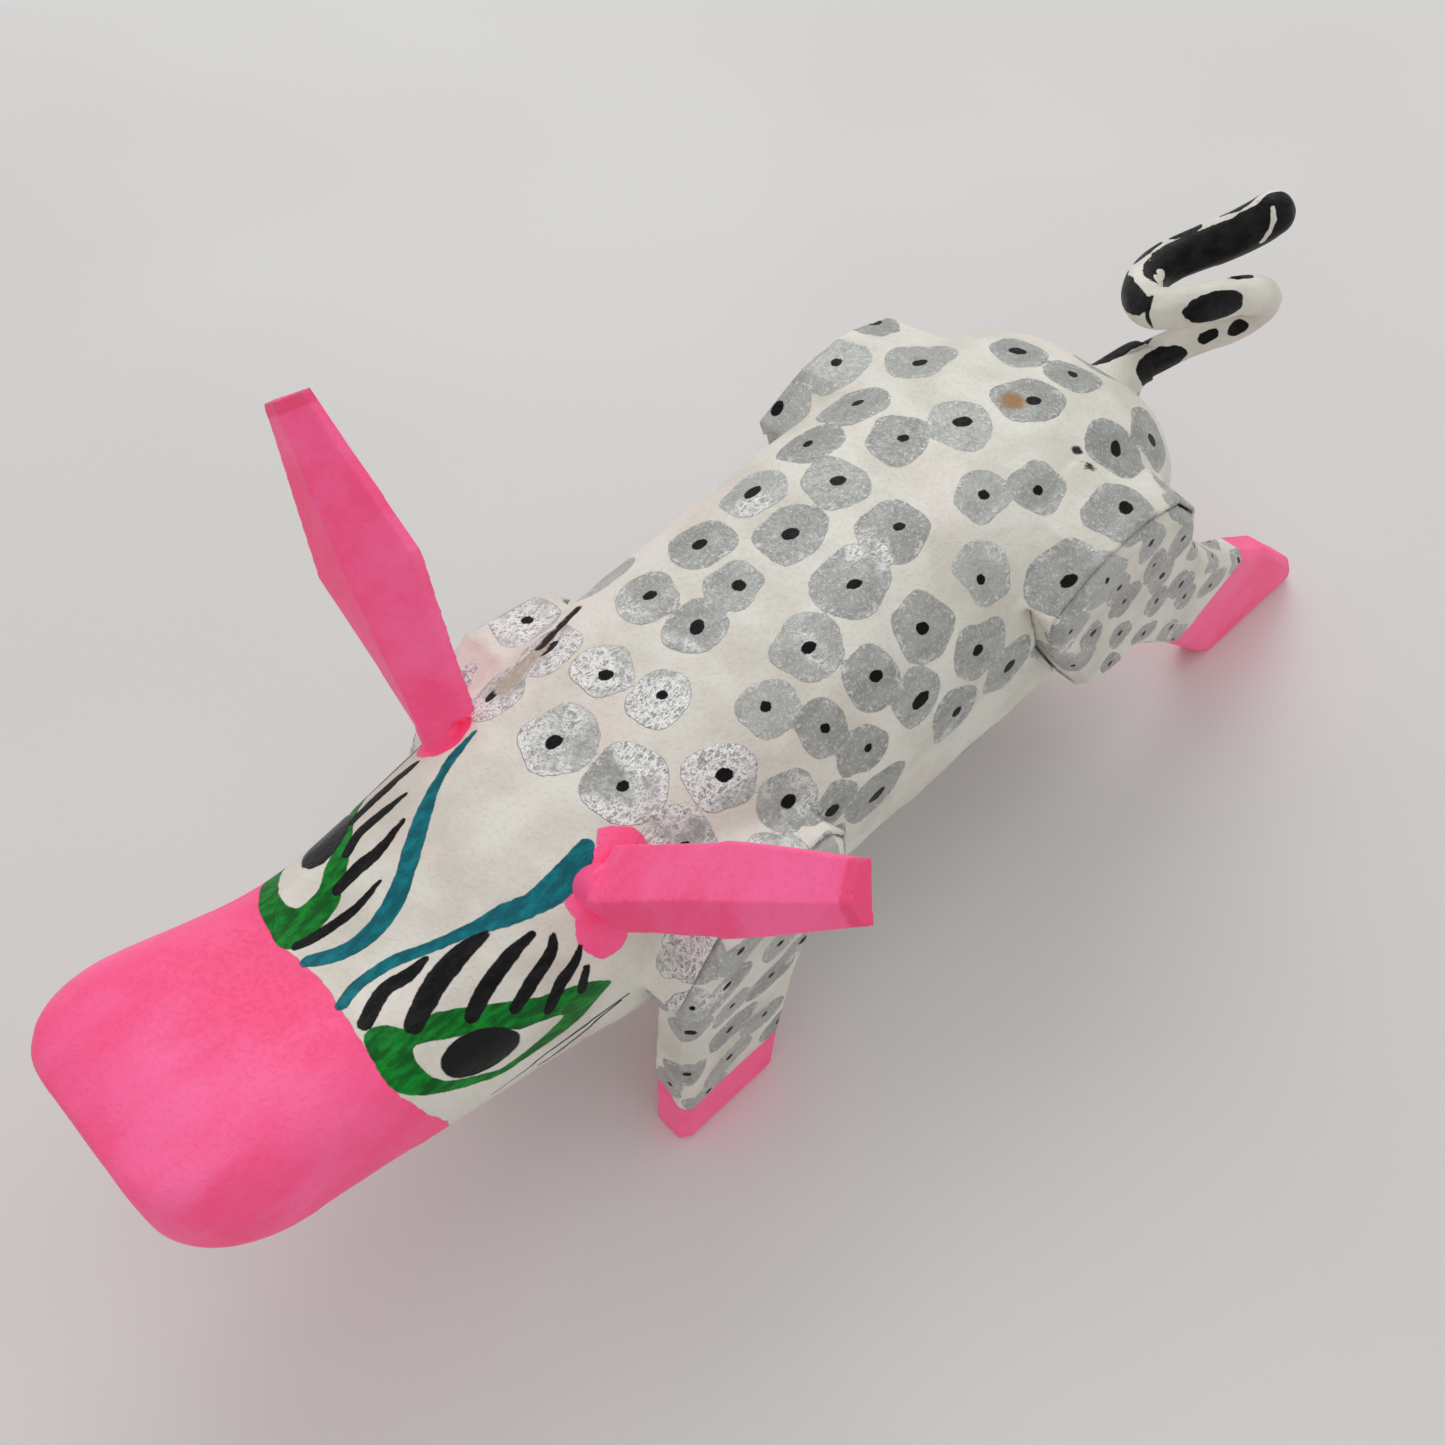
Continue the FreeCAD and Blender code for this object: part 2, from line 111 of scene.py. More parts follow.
PINK_EDGE = [(-47, -22.2), (-24, -22.0), (-12.1, -21.5), (-9.9, -24.1), (-7.7, -25.8), (-5.3, -25.6),
             (-2.4, -25.2), (1.6, -25.0), (5.5, -25.3), (10.6, -25.9), (16.1, -26.1), (20.2, -24.9),
             (23.8, -23.7), (47, -22.2)]
LEFT_GREEN = [(-25.7, 10.5), (-24.8, 9.9), (-23.3, 10.8), (-22, 12.4), (-19.7, 12.4), (-16.7, 14),
              (-14.5, 15.2), (-11.8, 16.7), (-8.7, 17.9), (-6.6, 18.9), (-5.2, 20.4), (-6.8, 21.5),
              (-8.8, 23), (-11.7, 23.4), (-14.9, 23.3), (-17.9, 22.5), (-21.2, 20.5), (-24, 18.2),
              (-25.7, 16.4), (-26.3, 14.9), (-26.2, 12.6)]
LEFT_WHITE = [(-22.9, 13.7), (-21.5, 14.1), (-19.6, 15.3), (-17, 16.4), (-14.7, 18.4), (-12.8, 19.1),
              (-10.4, 20.5), (-12.8, 21.6), (-15.7, 22.1), (-17.8, 21.5), (-20.6, 19.6), (-22.3, 18),
              (-23.2, 16.4), (-23.3, 14.8)]
RIGHT_GREEN = [(-25.6, -8.4), (-25.8, -5.7), (-24.6, -4.6), (-22.9, -4.8), (-20, -5.4), (-17.8, -7.1),
               (-15.7, -9.1), (-12.9, -12.7), (-9, -16), (-5.5, -19), (-7, -21), (-11, -22.5),
               (-15, -22.5), (-19, -20.5), (-22.5, -16.5), (-24.7, -12)]
RIGHT_WHITE = [(-22.8, -8.8), (-21.3, -8.3), (-19.8, -8.6), (-18.4, -9.9), (-15.5, -12), (-12, -15.5),
               (-8.8, -18.3), (-11.5, -20.3), (-15, -20.8), (-18.3, -19), (-21, -15.5), (-22.8, -11.5)]
# Pupils: centre, half length, half width, tilt in degrees.
PUPILS = [(-18.4, 18.1, 3.8, 2.3, 24), (-16.3, -13.6, 3.6, 2.5, -36)]
# Brush strokes: points along the stroke with the stroke's width at each.
LASHES = [
    [(-24.6, 9.2, 1.5), (-21.7, 7.7, 1.6), (-19.5, 8, 1.5), (-17.4, 7.8, 0.7)],
    [(-21.6, 12.1, 1.8), (-18.2, 10.3, 2.1), (-14.9, 9.4, 1.8), (-12.2, 9.4, 0.7)],
    [(-17.4, 14.6, 1.4), (-15, 13.2, 1.6), (-11.8, 12.1, 1.3), (-9.2, 11.7, 0.6)],
    [(-14, 16.3, 1.1), (-11.5, 15.1, 1.3), (-8.9, 13.9, 1.1), (-7.9, 12.8, 0.6)],
    [(-11.5, 18.5, 1.1), (-9.5, 16.9, 1.3), (-7.6, 16, 1.0), (-6.4, 14.9, 0.5)],
    [(-8.1, 18.8, 1.0), (-7.4, 17.8, 0.9), (-6.8, 17, 0.6)],
    [(-24.6, -4.8, 1.2), (-22, -4.1, 1.4), (-19.1, -3.5, 1.2), (-15.8, -3.7, 0.6)],
    [(-18.9, -6.8, 1.2), (-16.6, -6.8, 1.5), (-14, -6.4, 1.2), (-10.6, -6.8, 0.5)],
    [(-16.1, -9.1, 1.2), (-14.1, -9.9, 1.4), (-11.4, -9.5, 1.2), (-8.7, -9, 0.5)],
    [(-13.6, -12.4, 1.1), (-10.6, -12.2, 1.3), (-7.1, -11.6, 1.1), (-5.5, -11.2, 0.5)],
    [(-11, -15.4, 1.1), (-8, -14.8, 1.2), (-3.5, -14.1, 0.5)],
]
TEAL_LINES = [
    [(-25, 6, 1.4), (-23, 5.2, 1.5), (-19.8, 5.6, 1.5), (-16.5, 7.1, 1.2), (-13.1, 8.2, 1.3),
     (-10.1, 9, 2.1), (-7.6, 9.7, 2.1), (-5.1, 9.7, 2.6), (-2.5, 9.2, 2.3), (-0.8, 8.5, 1.4)],
    [(-24.8, -2.1, 1.6), (-22.4, -0.1, 2), (-19.7, 0.7, 2.5), (-16.6, -0.1, 2.6), (-13.7, -2.1, 2.1),
     (-11.5, -3.9, 2.1), (-8.6, -5.8, 1.6), (-5.6, -7.3, 1), (-3.1, -8.1, 1), (0, -8.4, 0.4)],
]
MOUTH_LINES = [
    [(-19, 25.9), (-13.2, 25.1), (-8.7, 25), (-3.5, 24.6)],
    [(-14, 26.8), (-8.1, 25.7), (-4.4, 24.9)],
]
# Pink round each ear's root, about the neck: place and radius.
EAR_ROOTS = [(12.2, -1.9, 43.2, 3.9), (-12.2, -1.9, 43.2, 3.3)]
PINK_PATCHES = [
    [(0.8, 8), (2.2, 8.6), (3.6, 9.8), (3, 12), (-0.6, 10.6)],
    [(-5.1, 12.6), (-6.4, 14.7), (-5.5, 17), (-3.9, 17.4), (-2.4, 16.9), (-1.5, 14)],
    [(-9.6, 27.1), (-7.5, 28.6), (-5.7, 29.6), (-7.6, 29.0)],
]

# Dots of the silver spots on the back and flanks that the painter laid first, in the same coordinates.
SPOTS = [
    (64.3, -7.2), (73.4, -2.8), (75.4, 2.1), (54.8, -7.6), (46.3, -7.1), (53.1, -1.9), (59.4, 0.1),
    (67.4, 2.4), (70.6, 9.3), (77.9, 11.0), (73.3, 14.4), (63.9, 12.1), (37.4, -6.8), (43.9, -2.4),
    (35.7, -1.5), (43.6, 4.0), (53.1, 6.0), (58.4, 8.1), (29.0, -6.4), (35.5, 5.3), (27.8, -1.0),
    (21.3, -5.9), (46.5, 10.5), (54.0, 13.7), (66.1, 19.1), (21.7, -0.6), (11.0, -9.6), (27.4, 6.9),
    (38.0, 10.7), (12.1, -3.0), (14.2, 2.2), (31.1, 11.4), (3.9, -10.5), (42.9, 14.7), (47.3, 18.5),
    (4.0, -1.5), (20.3, 8.4), (5.3, 6.4), (13.0, 10.5), (23.8, 12.2), (27.1, 15.6), (34.5, 15.1),
    (39.2, 18.8), (17.1, 15.1), (21.5, 18.7), (6.1, 13.2), (27.8, 21.4), (20.4, 23.5), (11.0, 17.5),
]
SPOT_SPACING = 8.2
SPOTS_START = 3.0

# Spots on the outer face of the left legs, as (distance behind the neck, height, half length, half width).
# The right legs have the same ones.
FRONT_LEG_SPOTS = [
    (5.0, 35.5, 3.1, 2.2), (10.4, 29.8, 3.4, 2.1), (3.4, 30.6, 3.2, 2.2), (-1.0, 31.0, 2.6, 2.1),
    (9.6, 24.2, 3.6, 2.1), (-1.6, 26.4, 2.7, 2.1), (3.7, 20.4, 3.5, 2.2), (9.0, 16.1, 3.1, 2.0),
    (3.9, 13.3, 3.4, 2.0), (-2.2, 17.6, 2.7, 2.3),
]
REAR_LEG_SPOTS = [
    (57.4, 45.4, 4.3, 3.2), (52.7, 41.2, 3.0, 2.8), (65.0, 45.4, 2.7, 2.2), (63.2, 37.6, 2.9, 2.2),
    (58.0, 36.6, 2.9, 1.8), (56.0, 32.4, 3.4, 1.9), (64.9, 25.3, 2.9, 1.5), (70.8, 35.8, 3.2, 2.2),
    (77.2, 29.4, 3.9, 2.1), (86.4, 22.0, 3.2, 2.0), (65.0, 30.8, 2.9, 1.6), (71.4, 25.4, 2.9, 1.6),
    (79.2, 20.0, 3.2, 1.6), (72.9, 40.2, 3.2, 2.5),
]

# Small marks, about the neck: place and radius, or a line's points.
KNOT_MARK = (1.4, 65.7, 51.4, 1.35)
SPECKS = [
    (12.4, 64.9, 49.0, 1.0), (11.7, 64.6, 49.3, 0.7), (10.3, 65.8, 50.1, 0.6), (12.9, 66.2, 48.4, 0.65),
]
SLOT_LINE = [(-12.5, 11.0, 44.8), (-13.0, 13.6, 44.8), (-13.6, 16.4, 44.7)]
OLIVE_LINE = [(-12.3, 10.8, 44.8), (-11.7, 8.2, 44.7), (-11.0, 5.2, 44.5)]
SLOT_HALF_WIDTH = 0.8
GROOVE_REACH = 0.75
GROOVE_DEPTH = 0.6
GROOVE_STEEPNESS = 1.2
OLIVE_HALF_WIDTH = 1.15


# Filler is drawn out over the leg tops: how far from the middle it starts, and by what share.
LEG_PUTTY = ["putty_front_left", "putty_front_right", "putty_rear_left", "putty_rear_right"]
FILLER_FROM = 16.0
FILLER_STRETCH = 0.85


# ---------------- mesh helpers
def node_shape(node, swell):
    """The CAD node's closed shape in millimetres, swollen a little so that it melts into its neighbours."""
    shape = bmesh.new()
    shape.from_mesh(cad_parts[node].data)
    bmesh.ops.scale(shape, vec=(1 / MM,) * 3, verts=shape.verts)
    bmesh.ops.remove_doubles(shape, verts=shape.verts, dist=0.001)
    if swell:
        shape.normal_update()
        for vertex in shape.verts:
            vertex.co += vertex.normal * swell
    if node in LEG_PUTTY:
        for vertex in shape.verts:
            beyond = max(abs(vertex.co.x - NECK[0]) - FILLER_FROM, 0.0)
            vertex.co.x += math.copysign(beyond * FILLER_STRETCH, vertex.co.x - NECK[0])
    mesh = bpy.data.meshes.new(node + "_shape")
    shape.to_mesh(mesh)
    shape.free()
    return mesh


def remeshed(nodes, name, voxel, swell=0.0):
    """New piece with the CAD nodes' joint shape in a fine even skin, in millimetres."""
    joined = bmesh.new()
    for number, node in enumerate(nodes):
        joined.from_mesh(node_shape(node, swell if number else 0.0))
    mesh = bpy.data.meshes.new(name)
    joined.to_mesh(mesh)
    joined.free()
    piece = bpy.data.objects.new(name, mesh)
    bpy.context.scene.collection.objects.link(piece)
    skin = piece.modifiers.new("skin", "REMESH")
    skin.mode = "VOXEL"
    skin.voxel_size = voxel
    bpy.context.view_layer.update()
    evaluated = piece.evaluated_get(bpy.context.evaluated_depsgraph_get())
    piece.data = bpy.data.meshes.new_from_object(evaluated)
    piece.modifiers.clear()
    piece.data.name = name
    return piece


def points_of(piece):
    """Vertices about the neck, in millimetres."""
    flat = np.empty(len(piece.data.vertices) * 3, np.float32)
    piece.data.vertices.foreach_get("co", flat)
    return flat.reshape(-1, 3).astype(float) - NECK


def normals_of(piece):
    flat = np.empty(len(piece.data.vertices) * 3, np.float32)
    piece.data.vertices.foreach_get("normal", flat)
    return flat.reshape(-1, 3).astype(float)


def put_points(piece, points):
    piece.data.vertices.foreach_set("co", (points + NECK).astype(np.float32).ravel())
    piece.data.update()


def edges_of(piece):
    flat = np.empty(len(piece.data.edges) * 2, np.int32)
    piece.data.edges.foreach_get("vertices", flat)
    return flat.reshape(-1, 2)


def neighbour_mean(values, edges):
    """Mean over each vertex's neighbours."""
    total = np.zeros_like(values)
    count = np.zeros(len(values))
    for first, second in ((0, 1), (1, 0)):
        np.add.at(total, edges[:, first], values[edges[:, second]])
        np.add.at(count, edges[:, first], 1)
    count = np.maximum(count, 1)
    return total / (count[:, None] if values.ndim > 1 else count)


def smooth(piece, rounds):
    edges = edges_of(piece)
    points = points_of(piece)
    for _ in range(rounds):
        points = points * 0.5 + neighbour_mean(points, edges) * 0.5
    put_points(piece, points)


def ridge_measure(piece, voxel, rounds=2):
    """How sharply the skin turns outwards at each vertex: above 0 on edges, below 0 in creases."""
    edges = edges_of(piece)
    points = points_of(piece)
    turn = ((points - neighbour_mean(points, edges)) * normals_of(piece)).sum(1) / voxel
    for _ in range(rounds):
        turn = neighbour_mean(turn, edges)
    return turn


def lattice(points, size, offset=0.0):
    """Smooth noise of about the given feature size, -1 to 1."""
    scaled = points / size + offset
    return np.array([lattice_noise(Vector(row)) for row in scaled])


def store(piece, name, values):
    attribute = piece.data.attributes.new(name, "FLOAT", "POINT")
    attribute.data.foreach_set("value", np.asarray(values, np.float32))


def tree_of(points):
    """Search tree over the points, numbered in their order."""
    tree = KDTree(len(points))
    for number, row in enumerate(points):
        tree.insert(row, number)
    tree.balance()
    return tree


def whittle(piece, facet, depth, grain):
    """Knife facets and an uneven hand-carved surface, always cut inwards."""
    points = points_of(piece)
    normals = normals_of(piece)
    centres = scatter(points, facet, random)
    tree = tree_of(points[centres])
    nearest = np.array([tree.find(row)[1] for row in points])
    index = np.array(centres)[nearest]
    height = ((points - points[index]) * normals[index]).sum(1)
    height = np.clip(height + depth, -depth, depth)
    cut = np.where((normals * normals[index]).sum(1) > 0.8, height * 0.5 + depth * 0.5, depth * 0.5)
    edges = edges_of(piece)
    for _ in range(2):
        cut = cut * 0.5 + neighbour_mean(cut, edges) * 0.5
    uneven = lattice(points, 9.0) * 0.5 + lattice(points, 3.1, 40.0) * 0.3 + 0.8
    put_points(piece, points - normals * (cut + uneven * grain)[:, None])


def scatter(points, spacing, numbers, taken=(), allowed=None):
    """Indices of points at least spacing apart from each other and from the taken places."""
    order = numbers.permutation(len(points))[:6000]
    kept = []
    places = [np.array(place) for place in taken]
    for index in order:
        if allowed is not None and not allowed[index]:
            continue
        here = points[index]
        if places and np.min(((np.array(places) - here) ** 2).sum(1)) < spacing ** 2:
            continue
        kept.append(int(index))
        places.append(here)
    return kept


def finish_piece(piece, nodes, body, material):
    """Scales the piece to metres, smooth-shades it, and puts it on its CAD body."""
    piece.data.transform(Matrix.Scale(MM, 4))
    piece.data.polygons.foreach_set("use_smooth", [True] * len(piece.data.polygons))
    piece.data.materials.append(material)
    piece.data.update()
    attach(piece, body)
    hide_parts(*nodes)
    return piece


# ---------------- paint helpers
def unrolled(points):
    """Paint coordinates (distance behind the neck, distance round the head) of each point."""
    round_head = np.arctan2(points[:, 0] - UNROLL_AXIS[0], points[:, 2] - UNROLL_AXIS[1])
    return np.stack([points[:, 1], round_head * UNROLL_RADIUS], 1)


def curve_through(points, closed, steps=5):
    """Smooth curve through the points (any number of columns)."""
    points = np.array(points, float)
    count = len(points)
    spans = count if closed else count - 1
    made = []
    for span in range(spans):
        picks = [span - 1, span, span + 1, span + 2]
        picks = [p % count for p in picks] if closed else [min(max(p, 0), count - 1) for p in picks]
        before, start, end, after = points[picks]
        for share in np.arange(steps) / steps:
            made.append(0.5 * (2 * start + (end - before) * share
                               + (2 * before - 5 * start + 4 * end - after) * share ** 2
                               + (3 * start - before - 3 * end + after) * share ** 3))
    if not closed:
        made.append(points[-1])
    return np.array(made)


def segment_share(places, start, end):
    """Share along the segment nearest to each place, and the distance to it."""
    along = end - start
    share = np.clip(((places - start) @ along) / max(along @ along, 1e-9), 0, 1)
    return share, np.linalg.norm(places - start - share[:, None] * along, axis=1)


def inside_outline(places, outline):
    """Signed distance from a closed smooth outline, positive inside."""
    curve = curve_through(outline, closed=True)
    best = np.full(len(places), 1e3)
    inside = np.zeros(len(places), bool)
    for start, end in zip(curve, np.roll(curve, -1, axis=0)):
        best = np.minimum(best, segment_share(places, start, end)[1])
        crosses = (start[1] > places[:, 1]) != (end[1] > places[:, 1])
        rise = end[1] - start[1] if abs(end[1] - start[1]) > 1e-9 else 1e-9
        across = start[0] + (places[:, 1] - start[1]) / rise * (end[0] - start[0])
        inside ^= crosses & (places[:, 0] < across)
    return np.where(inside, best, -best)


def inside_stroke(places, stroke):
    """Signed distance from the edge of a brush stroke of changing width, positive inside."""
    curve = curve_through(stroke, closed=False)
    best = np.full(len(places), -1e3)
    for start, end in zip(curve[:-1], curve[1:]):
        share, distance = segment_share(places, start[:2], end[:2])
        width = start[2] + (end[2] - start[2]) * share
        best = np.maximum(best, width / 2 - distance)
    return best


def inside_ellipse(places, centre_y, centre_w, half_length, half_width, tilt):
    turn = math.radians(tilt)
    local = places - np.array([centre_y, centre_w])
    long = local @ np.array([math.cos(turn), math.sin(turn)])
    wide = local @ np.array([-math.sin(turn), math.cos(turn)])
    radius = np.sqrt((long / half_length) ** 2 + (wide / half_width) ** 2)
    return (1 - radius) * half_width


def inside_balls(points, balls):
    """Signed distance into each ball, given by its place and radius."""
    return [radius - np.linalg.norm(points - (x, y, z), axis=1) for x, y, z, radius in balls]


def union(*fields):
    return np.maximum.reduce(fields)


def paint_head(piece, points):
    """Muzzle, eyes, lashes, brow lines and mouth lines."""
    places = unrolled(points)
    count = len(points)
    head = points[:, 1] < HEAD_END
    fields = {name: np.full(count, -9.0) for name in ("pink", "green", "black", "teal", "pupil")}
    near = places[head]
    edge_w, edge_y = np.array(PINK_EDGE).T
    muzzle = np.interp(near[:, 1], edge_w, edge_y) - near[:, 0]
    whites = union(inside_outline(near, LEFT_WHITE), inside_outline(near, RIGHT_WHITE))
    roots = inside_balls(points[head], EAR_ROOTS)
    pink = union(muzzle, *roots, *[inside_outline(near, patch) for patch in PINK_PATCHES])
    fields["pink"][head] = np.minimum(pink, -whites)
    left = np.minimum(inside_outline(near, LEFT_GREEN), -whites)
    right = np.minimum(inside_outline(near, RIGHT_GREEN), -whites)
    fields["green"][head] = union(left, right)
    fields["black"][head] = union(*[inside_stroke(near, lash) for lash in LASHES])
    fields["pupil"][head] = union(*[inside_ellipse(near, *pupil) for pupil in PUPILS])
    fields["teal"][head] = union(*[inside_stroke(near, line) for line in TEAL_LINES])
    for name, values in fields.items():
        store(piece, name, values)
    for number, line in enumerate(MOUTH_LINES):
        line_y, line_w = np.array(line).T
        side = places[:, 1] - np.interp(places[:, 0], line_y, line_w)
        store(piece, "mouth%d" % number, side)
        span = np.minimum(places[:, 0] - line_y[0], line_y[-1] - places[:, 0])
        store(piece, "mouth_span%d" % number, span)


def make_spot(centre, normal, flow, half_length, half_width, dot, numbers):
    """One hand-painted rounded blob with its dot: where it lies and how it departs from an ellipse."""
    along = flow - normal * (flow @ normal)
    if np.linalg.norm(along) < 0.2:
        along = np.cross(normal, np.array([1.0, 0, 0]))
    along = along / np.linalg.norm(along)
    return {
        "centre": centre, "normal": normal, "along": along, "across": np.cross(normal, along),
        "turn": numbers.normal(0, 0.22), "shift": numbers.normal(0, 0.09, 2) * half_length,
        "half": np.array([half_length, half_width]) * numbers.normal(1, 0.05, 2),
        "waves": [(order, numbers.uniform(0, 2 * math.pi), numbers.uniform(0.015, 0.05))
                  for order in (2, 3, 5)],
        "shade": numbers.uniform(0, 1), "dot": dot * numbers.uniform(0.75, 1.15),
        "stretch": numbers.uniform(1.0, 1.6), "dot_turn": numbers.uniform(-0.6, 0.6),
    }


def turned(first, second, angle):
    return (first * math.cos(angle) + second * math.sin(angle),
            second * math.cos(angle) - first * math.sin(angle))


BLOB_POWER = 2.5        # 2 gives an ellipse; more gives it corners


def blob_distance(spot, a, b, c):
    """Signed distance from the blob's edge, positive inside; a, b, c are along, across and off the skin."""
    p, q = turned(a - spot["shift"][0], b - spot["shift"][1], spot["turn"])
    angle = np.arctan2(q, p)
    long_share = (np.abs(np.cos(angle)) / spot["half"][0]) ** BLOB_POWER
    wide_share = (np.abs(np.sin(angle)) / spot["half"][1]) ** BLOB_POWER
    edge = (long_share + wide_share) ** (-1 / BLOB_POWER)
    for order, phase, amount in spot["waves"]:
        edge = edge * (1 + amount * np.cos(order * angle + phase))
    return edge - np.sqrt(p ** 2 + q ** 2 + (1.2 * c) ** 2)


def paint_spots(piece, points, spots):
    """Silver spots and their black dots, with a shade of its own for each spot."""
    inside = np.full(len(points), -9.0)
    dots = np.full(len(points), -9.0)
    tone = np.zeros(len(points))
    tree = tree_of(points)
    for spot in spots:
        reach = 1.5 * spot["half"].max()
        near = np.array([hit[1] for hit in tree.find_range(Vector(spot["centre"]), reach)], int)
        if not len(near):
            continue
        local = points[near] - spot["centre"]
        a, b, c = (local @ spot[key] for key in ("along", "across", "normal"))
        blob = blob_distance(spot, a, b, c)
        u, v = turned(a, b, spot["dot_turn"])
        dot = spot["dot"] - np.sqrt((u / spot["stretch"]) ** 2 + v ** 2 + c ** 2)
        tone[near] = np.where(blob > inside[near], spot["shade"], tone[near])
        inside[near] = np.maximum(inside[near], blob)
        dots[near] = np.maximum(dots[near], dot)
    store(piece, "spot", inside)
    store(piece, "dot", dots)
    store(piece, "tone", tone)


# ---------------- node helpers
class Paint:
    """A material's node tree with short calls for the few kinds of node used here."""

    def __init__(self, name):
        self.material = bpy.data.materials.new(name)
        self.material.use_nodes = True
        self.tree = self.material.node_tree
        self.tree.nodes.clear()
        self.output = self.tree.nodes.new("ShaderNodeOutputMaterial")
        self.shader = self.tree.nodes.new("ShaderNodeBsdfPrincipled")
        self.tree.links.new(self.shader.outputs[0], self.output.inputs["Surface"])
        place = self.tree.nodes.new("ShaderNodeTexCoord").outputs["Object"]
        scale = self.node("ShaderNodeVectorMath", {0: place}, operation="SCALE")
        scale.inputs["Scale"].default_value = 1 / MM
        self.place = scale.outputs[0]

    def node(self, kind, inputs=None, **settings):
        made = self.tree.nodes.new(kind)
        for key, value in settings.items():
            setattr(made, key, value)
        for key, value in (inputs or {}).items():
            self.set(made.inputs[key], value)
        return made

    def set(self, socket, value):
        if isinstance(value, bpy.types.NodeSocket):
            self.tree.links.new(value, socket)
        else:
            socket.default_value = value

    def math(self, operation, first, second=0.0, third=0.0):
        made = self.node("ShaderNodeMath", {0: first, 1: second}, operation=operation)
        if operation == "MULTIPLY_ADD":
            self.set(made.inputs[2], third)
        return made.outputs[0]

    def field(self, name):
        return self.node("ShaderNodeAttribute", attribute_name=name).outputs["Fac"]

    def noise(self, size, detail=2.0, roughness=0.5, stretch=None):
        """Noise 0..1 with features of about size millimetres."""
        place = self.place
        if stretch:
            pulled = self.node("ShaderNodeVectorMath", {0: place, 1: stretch}, operation="MULTIPLY")
            place = pulled.outputs[0]
        made = self.node("ShaderNodeTexNoise", {"Vector": place, "Scale": 1 / size, "Detail": detail,
                                                "Roughness": roughness})
        return made.outputs["Fac"]

    def ramp(self, value, low, high, to_low=0.0, to_high=1.0):
        made = self.node("ShaderNodeMapRange", {"Value": value, "From Min": low, "From Max": high,
                                                "To Min": to_low, "To Max": to_high})
        made.interpolation_type = "SMOOTHSTEP"
        return made.outputs["Result"]

    def blend(self, share, first, second):
        made = self.node("ShaderNodeMix", data_type="RGBA")
        self.set(made.inputs[0], share)
        self.set(made.inputs[6], first)
        self.set(made.inputs[7], second)
        return made.outputs[2]

    def blend_number(self, share, first, second):
        made = self.node("ShaderNodeMix", data_type="FLOAT")
        self.set(made.inputs[0], share)
        self.set(made.inputs[2], first)
        self.set(made.inputs[3], second)
        return made.outputs[0]

    def mask(self, field, wobble=0.25, size=1.2, softness=0.12):
        """0..1 inside a painted mark, with the uneven edge of a brush."""
        noise = self.math("SUBTRACT", self.noise(size, 3.0), 0.5)
        moved = self.math("MULTIPLY_ADD", noise, wobble * 2, field)
        return self.ramp(moved, -softness / 2, softness / 2)

    def bump(self, height, strength, distance):
        inputs = {"Strength": strength, "Distance": distance * MM, "Height": height}
        return self.node("ShaderNodeBump", inputs).outputs["Normal"]

    def finish(self, colour, roughness, normal, metallic=0.0, specular=0.5):
        self.set(self.shader.inputs["Base Color"], colour)
        self.set(self.shader.inputs["Roughness"], roughness)
        self.set(self.shader.inputs["Metallic"], metallic)
        self.set(self.shader.inputs["Specular IOR Level"], specular)
        self.tree.links.new(normal, self.shader.inputs["Normal"])
        return self.material


class Coat:
    """Layers of paint: each one covers the colour, roughness, metal, thickness and painted glow below it.
    """

    def __init__(self, paint, colour, roughness):
        self.paint = paint
        self.colour = colour
        self.roughness = roughness
        self.metal = 0.0
        self.height = 0.0
        self.specular = 0.4
        # painted glow: light given off by the paint, none until pink covers it
        self.glow = NO_GLOW

    def cover(self, mask, colour, roughness, metal=0.0, thickness=0.0, specular=0.4, glow=NO_GLOW):
        paint = self.paint
        self.colour = paint.blend(mask, self.colour, colour)
        self.roughness = paint.blend_number(mask, self.roughness, roughness)
        self.metal = paint.blend_number(mask, self.metal, metal)
        self.specular = paint.blend_number(mask, self.specular, specular)
        self.glow = paint.blend(mask, self.glow, glow)
        if thickness:
            self.height = paint.math("MULTIPLY_ADD", mask, thickness, self.height)


def pitted(paint):
    """Height of brushed paint over sanded wood: fine pits, faint brush lines and soft dents."""
    pits = paint.ramp(paint.noise(0.55, 4.0, 0.6), 0.30, 0.52)
    dents = paint.noise(3.2, 2.0)
    brush = paint.noise(0.5, 2.0, 0.5, stretch=(1.0, 0.16, 1.0))
    height = paint.math("MULTIPLY_ADD", pits, 0.45, paint.math("MULTIPLY", dents, 0.6))
    return paint.math("MULTIPLY_ADD", brush, 0.35, height)


def cream_coat(paint):
    """The off-white ground: slightly uneven, with pinkish and greyish breath in it."""
    mottled = paint.blend(paint.ramp(paint.noise(7.0, 3.0), 0.35, 0.7), CREAM, CREAM_SHADE)
    warm = paint.blend(paint.ramp(paint.noise(11.0, 2.0), 0.54, 0.75, 0.0, 0.5), mottled, CREAM_PINK)
    speck = paint.ramp(paint.noise(0.9, 4.0, 0.75), 0.70, 0.78, 0.0, 0.5)
    return Coat(paint, paint.blend(speck, warm, CREAM_SHADE), paint.blend_number(speck, 0.52, 0.7))


def crumple_line(paint, size):
    """0 on the fold lines of crumpled foil, rising away from them."""
    fold = paint.noise(size, 4.0, 0.7, stretch=(1.0, 0.6, 0.8))
    return paint.math("ABSOLUTE", paint.math("SUBTRACT", fold, 0.5))


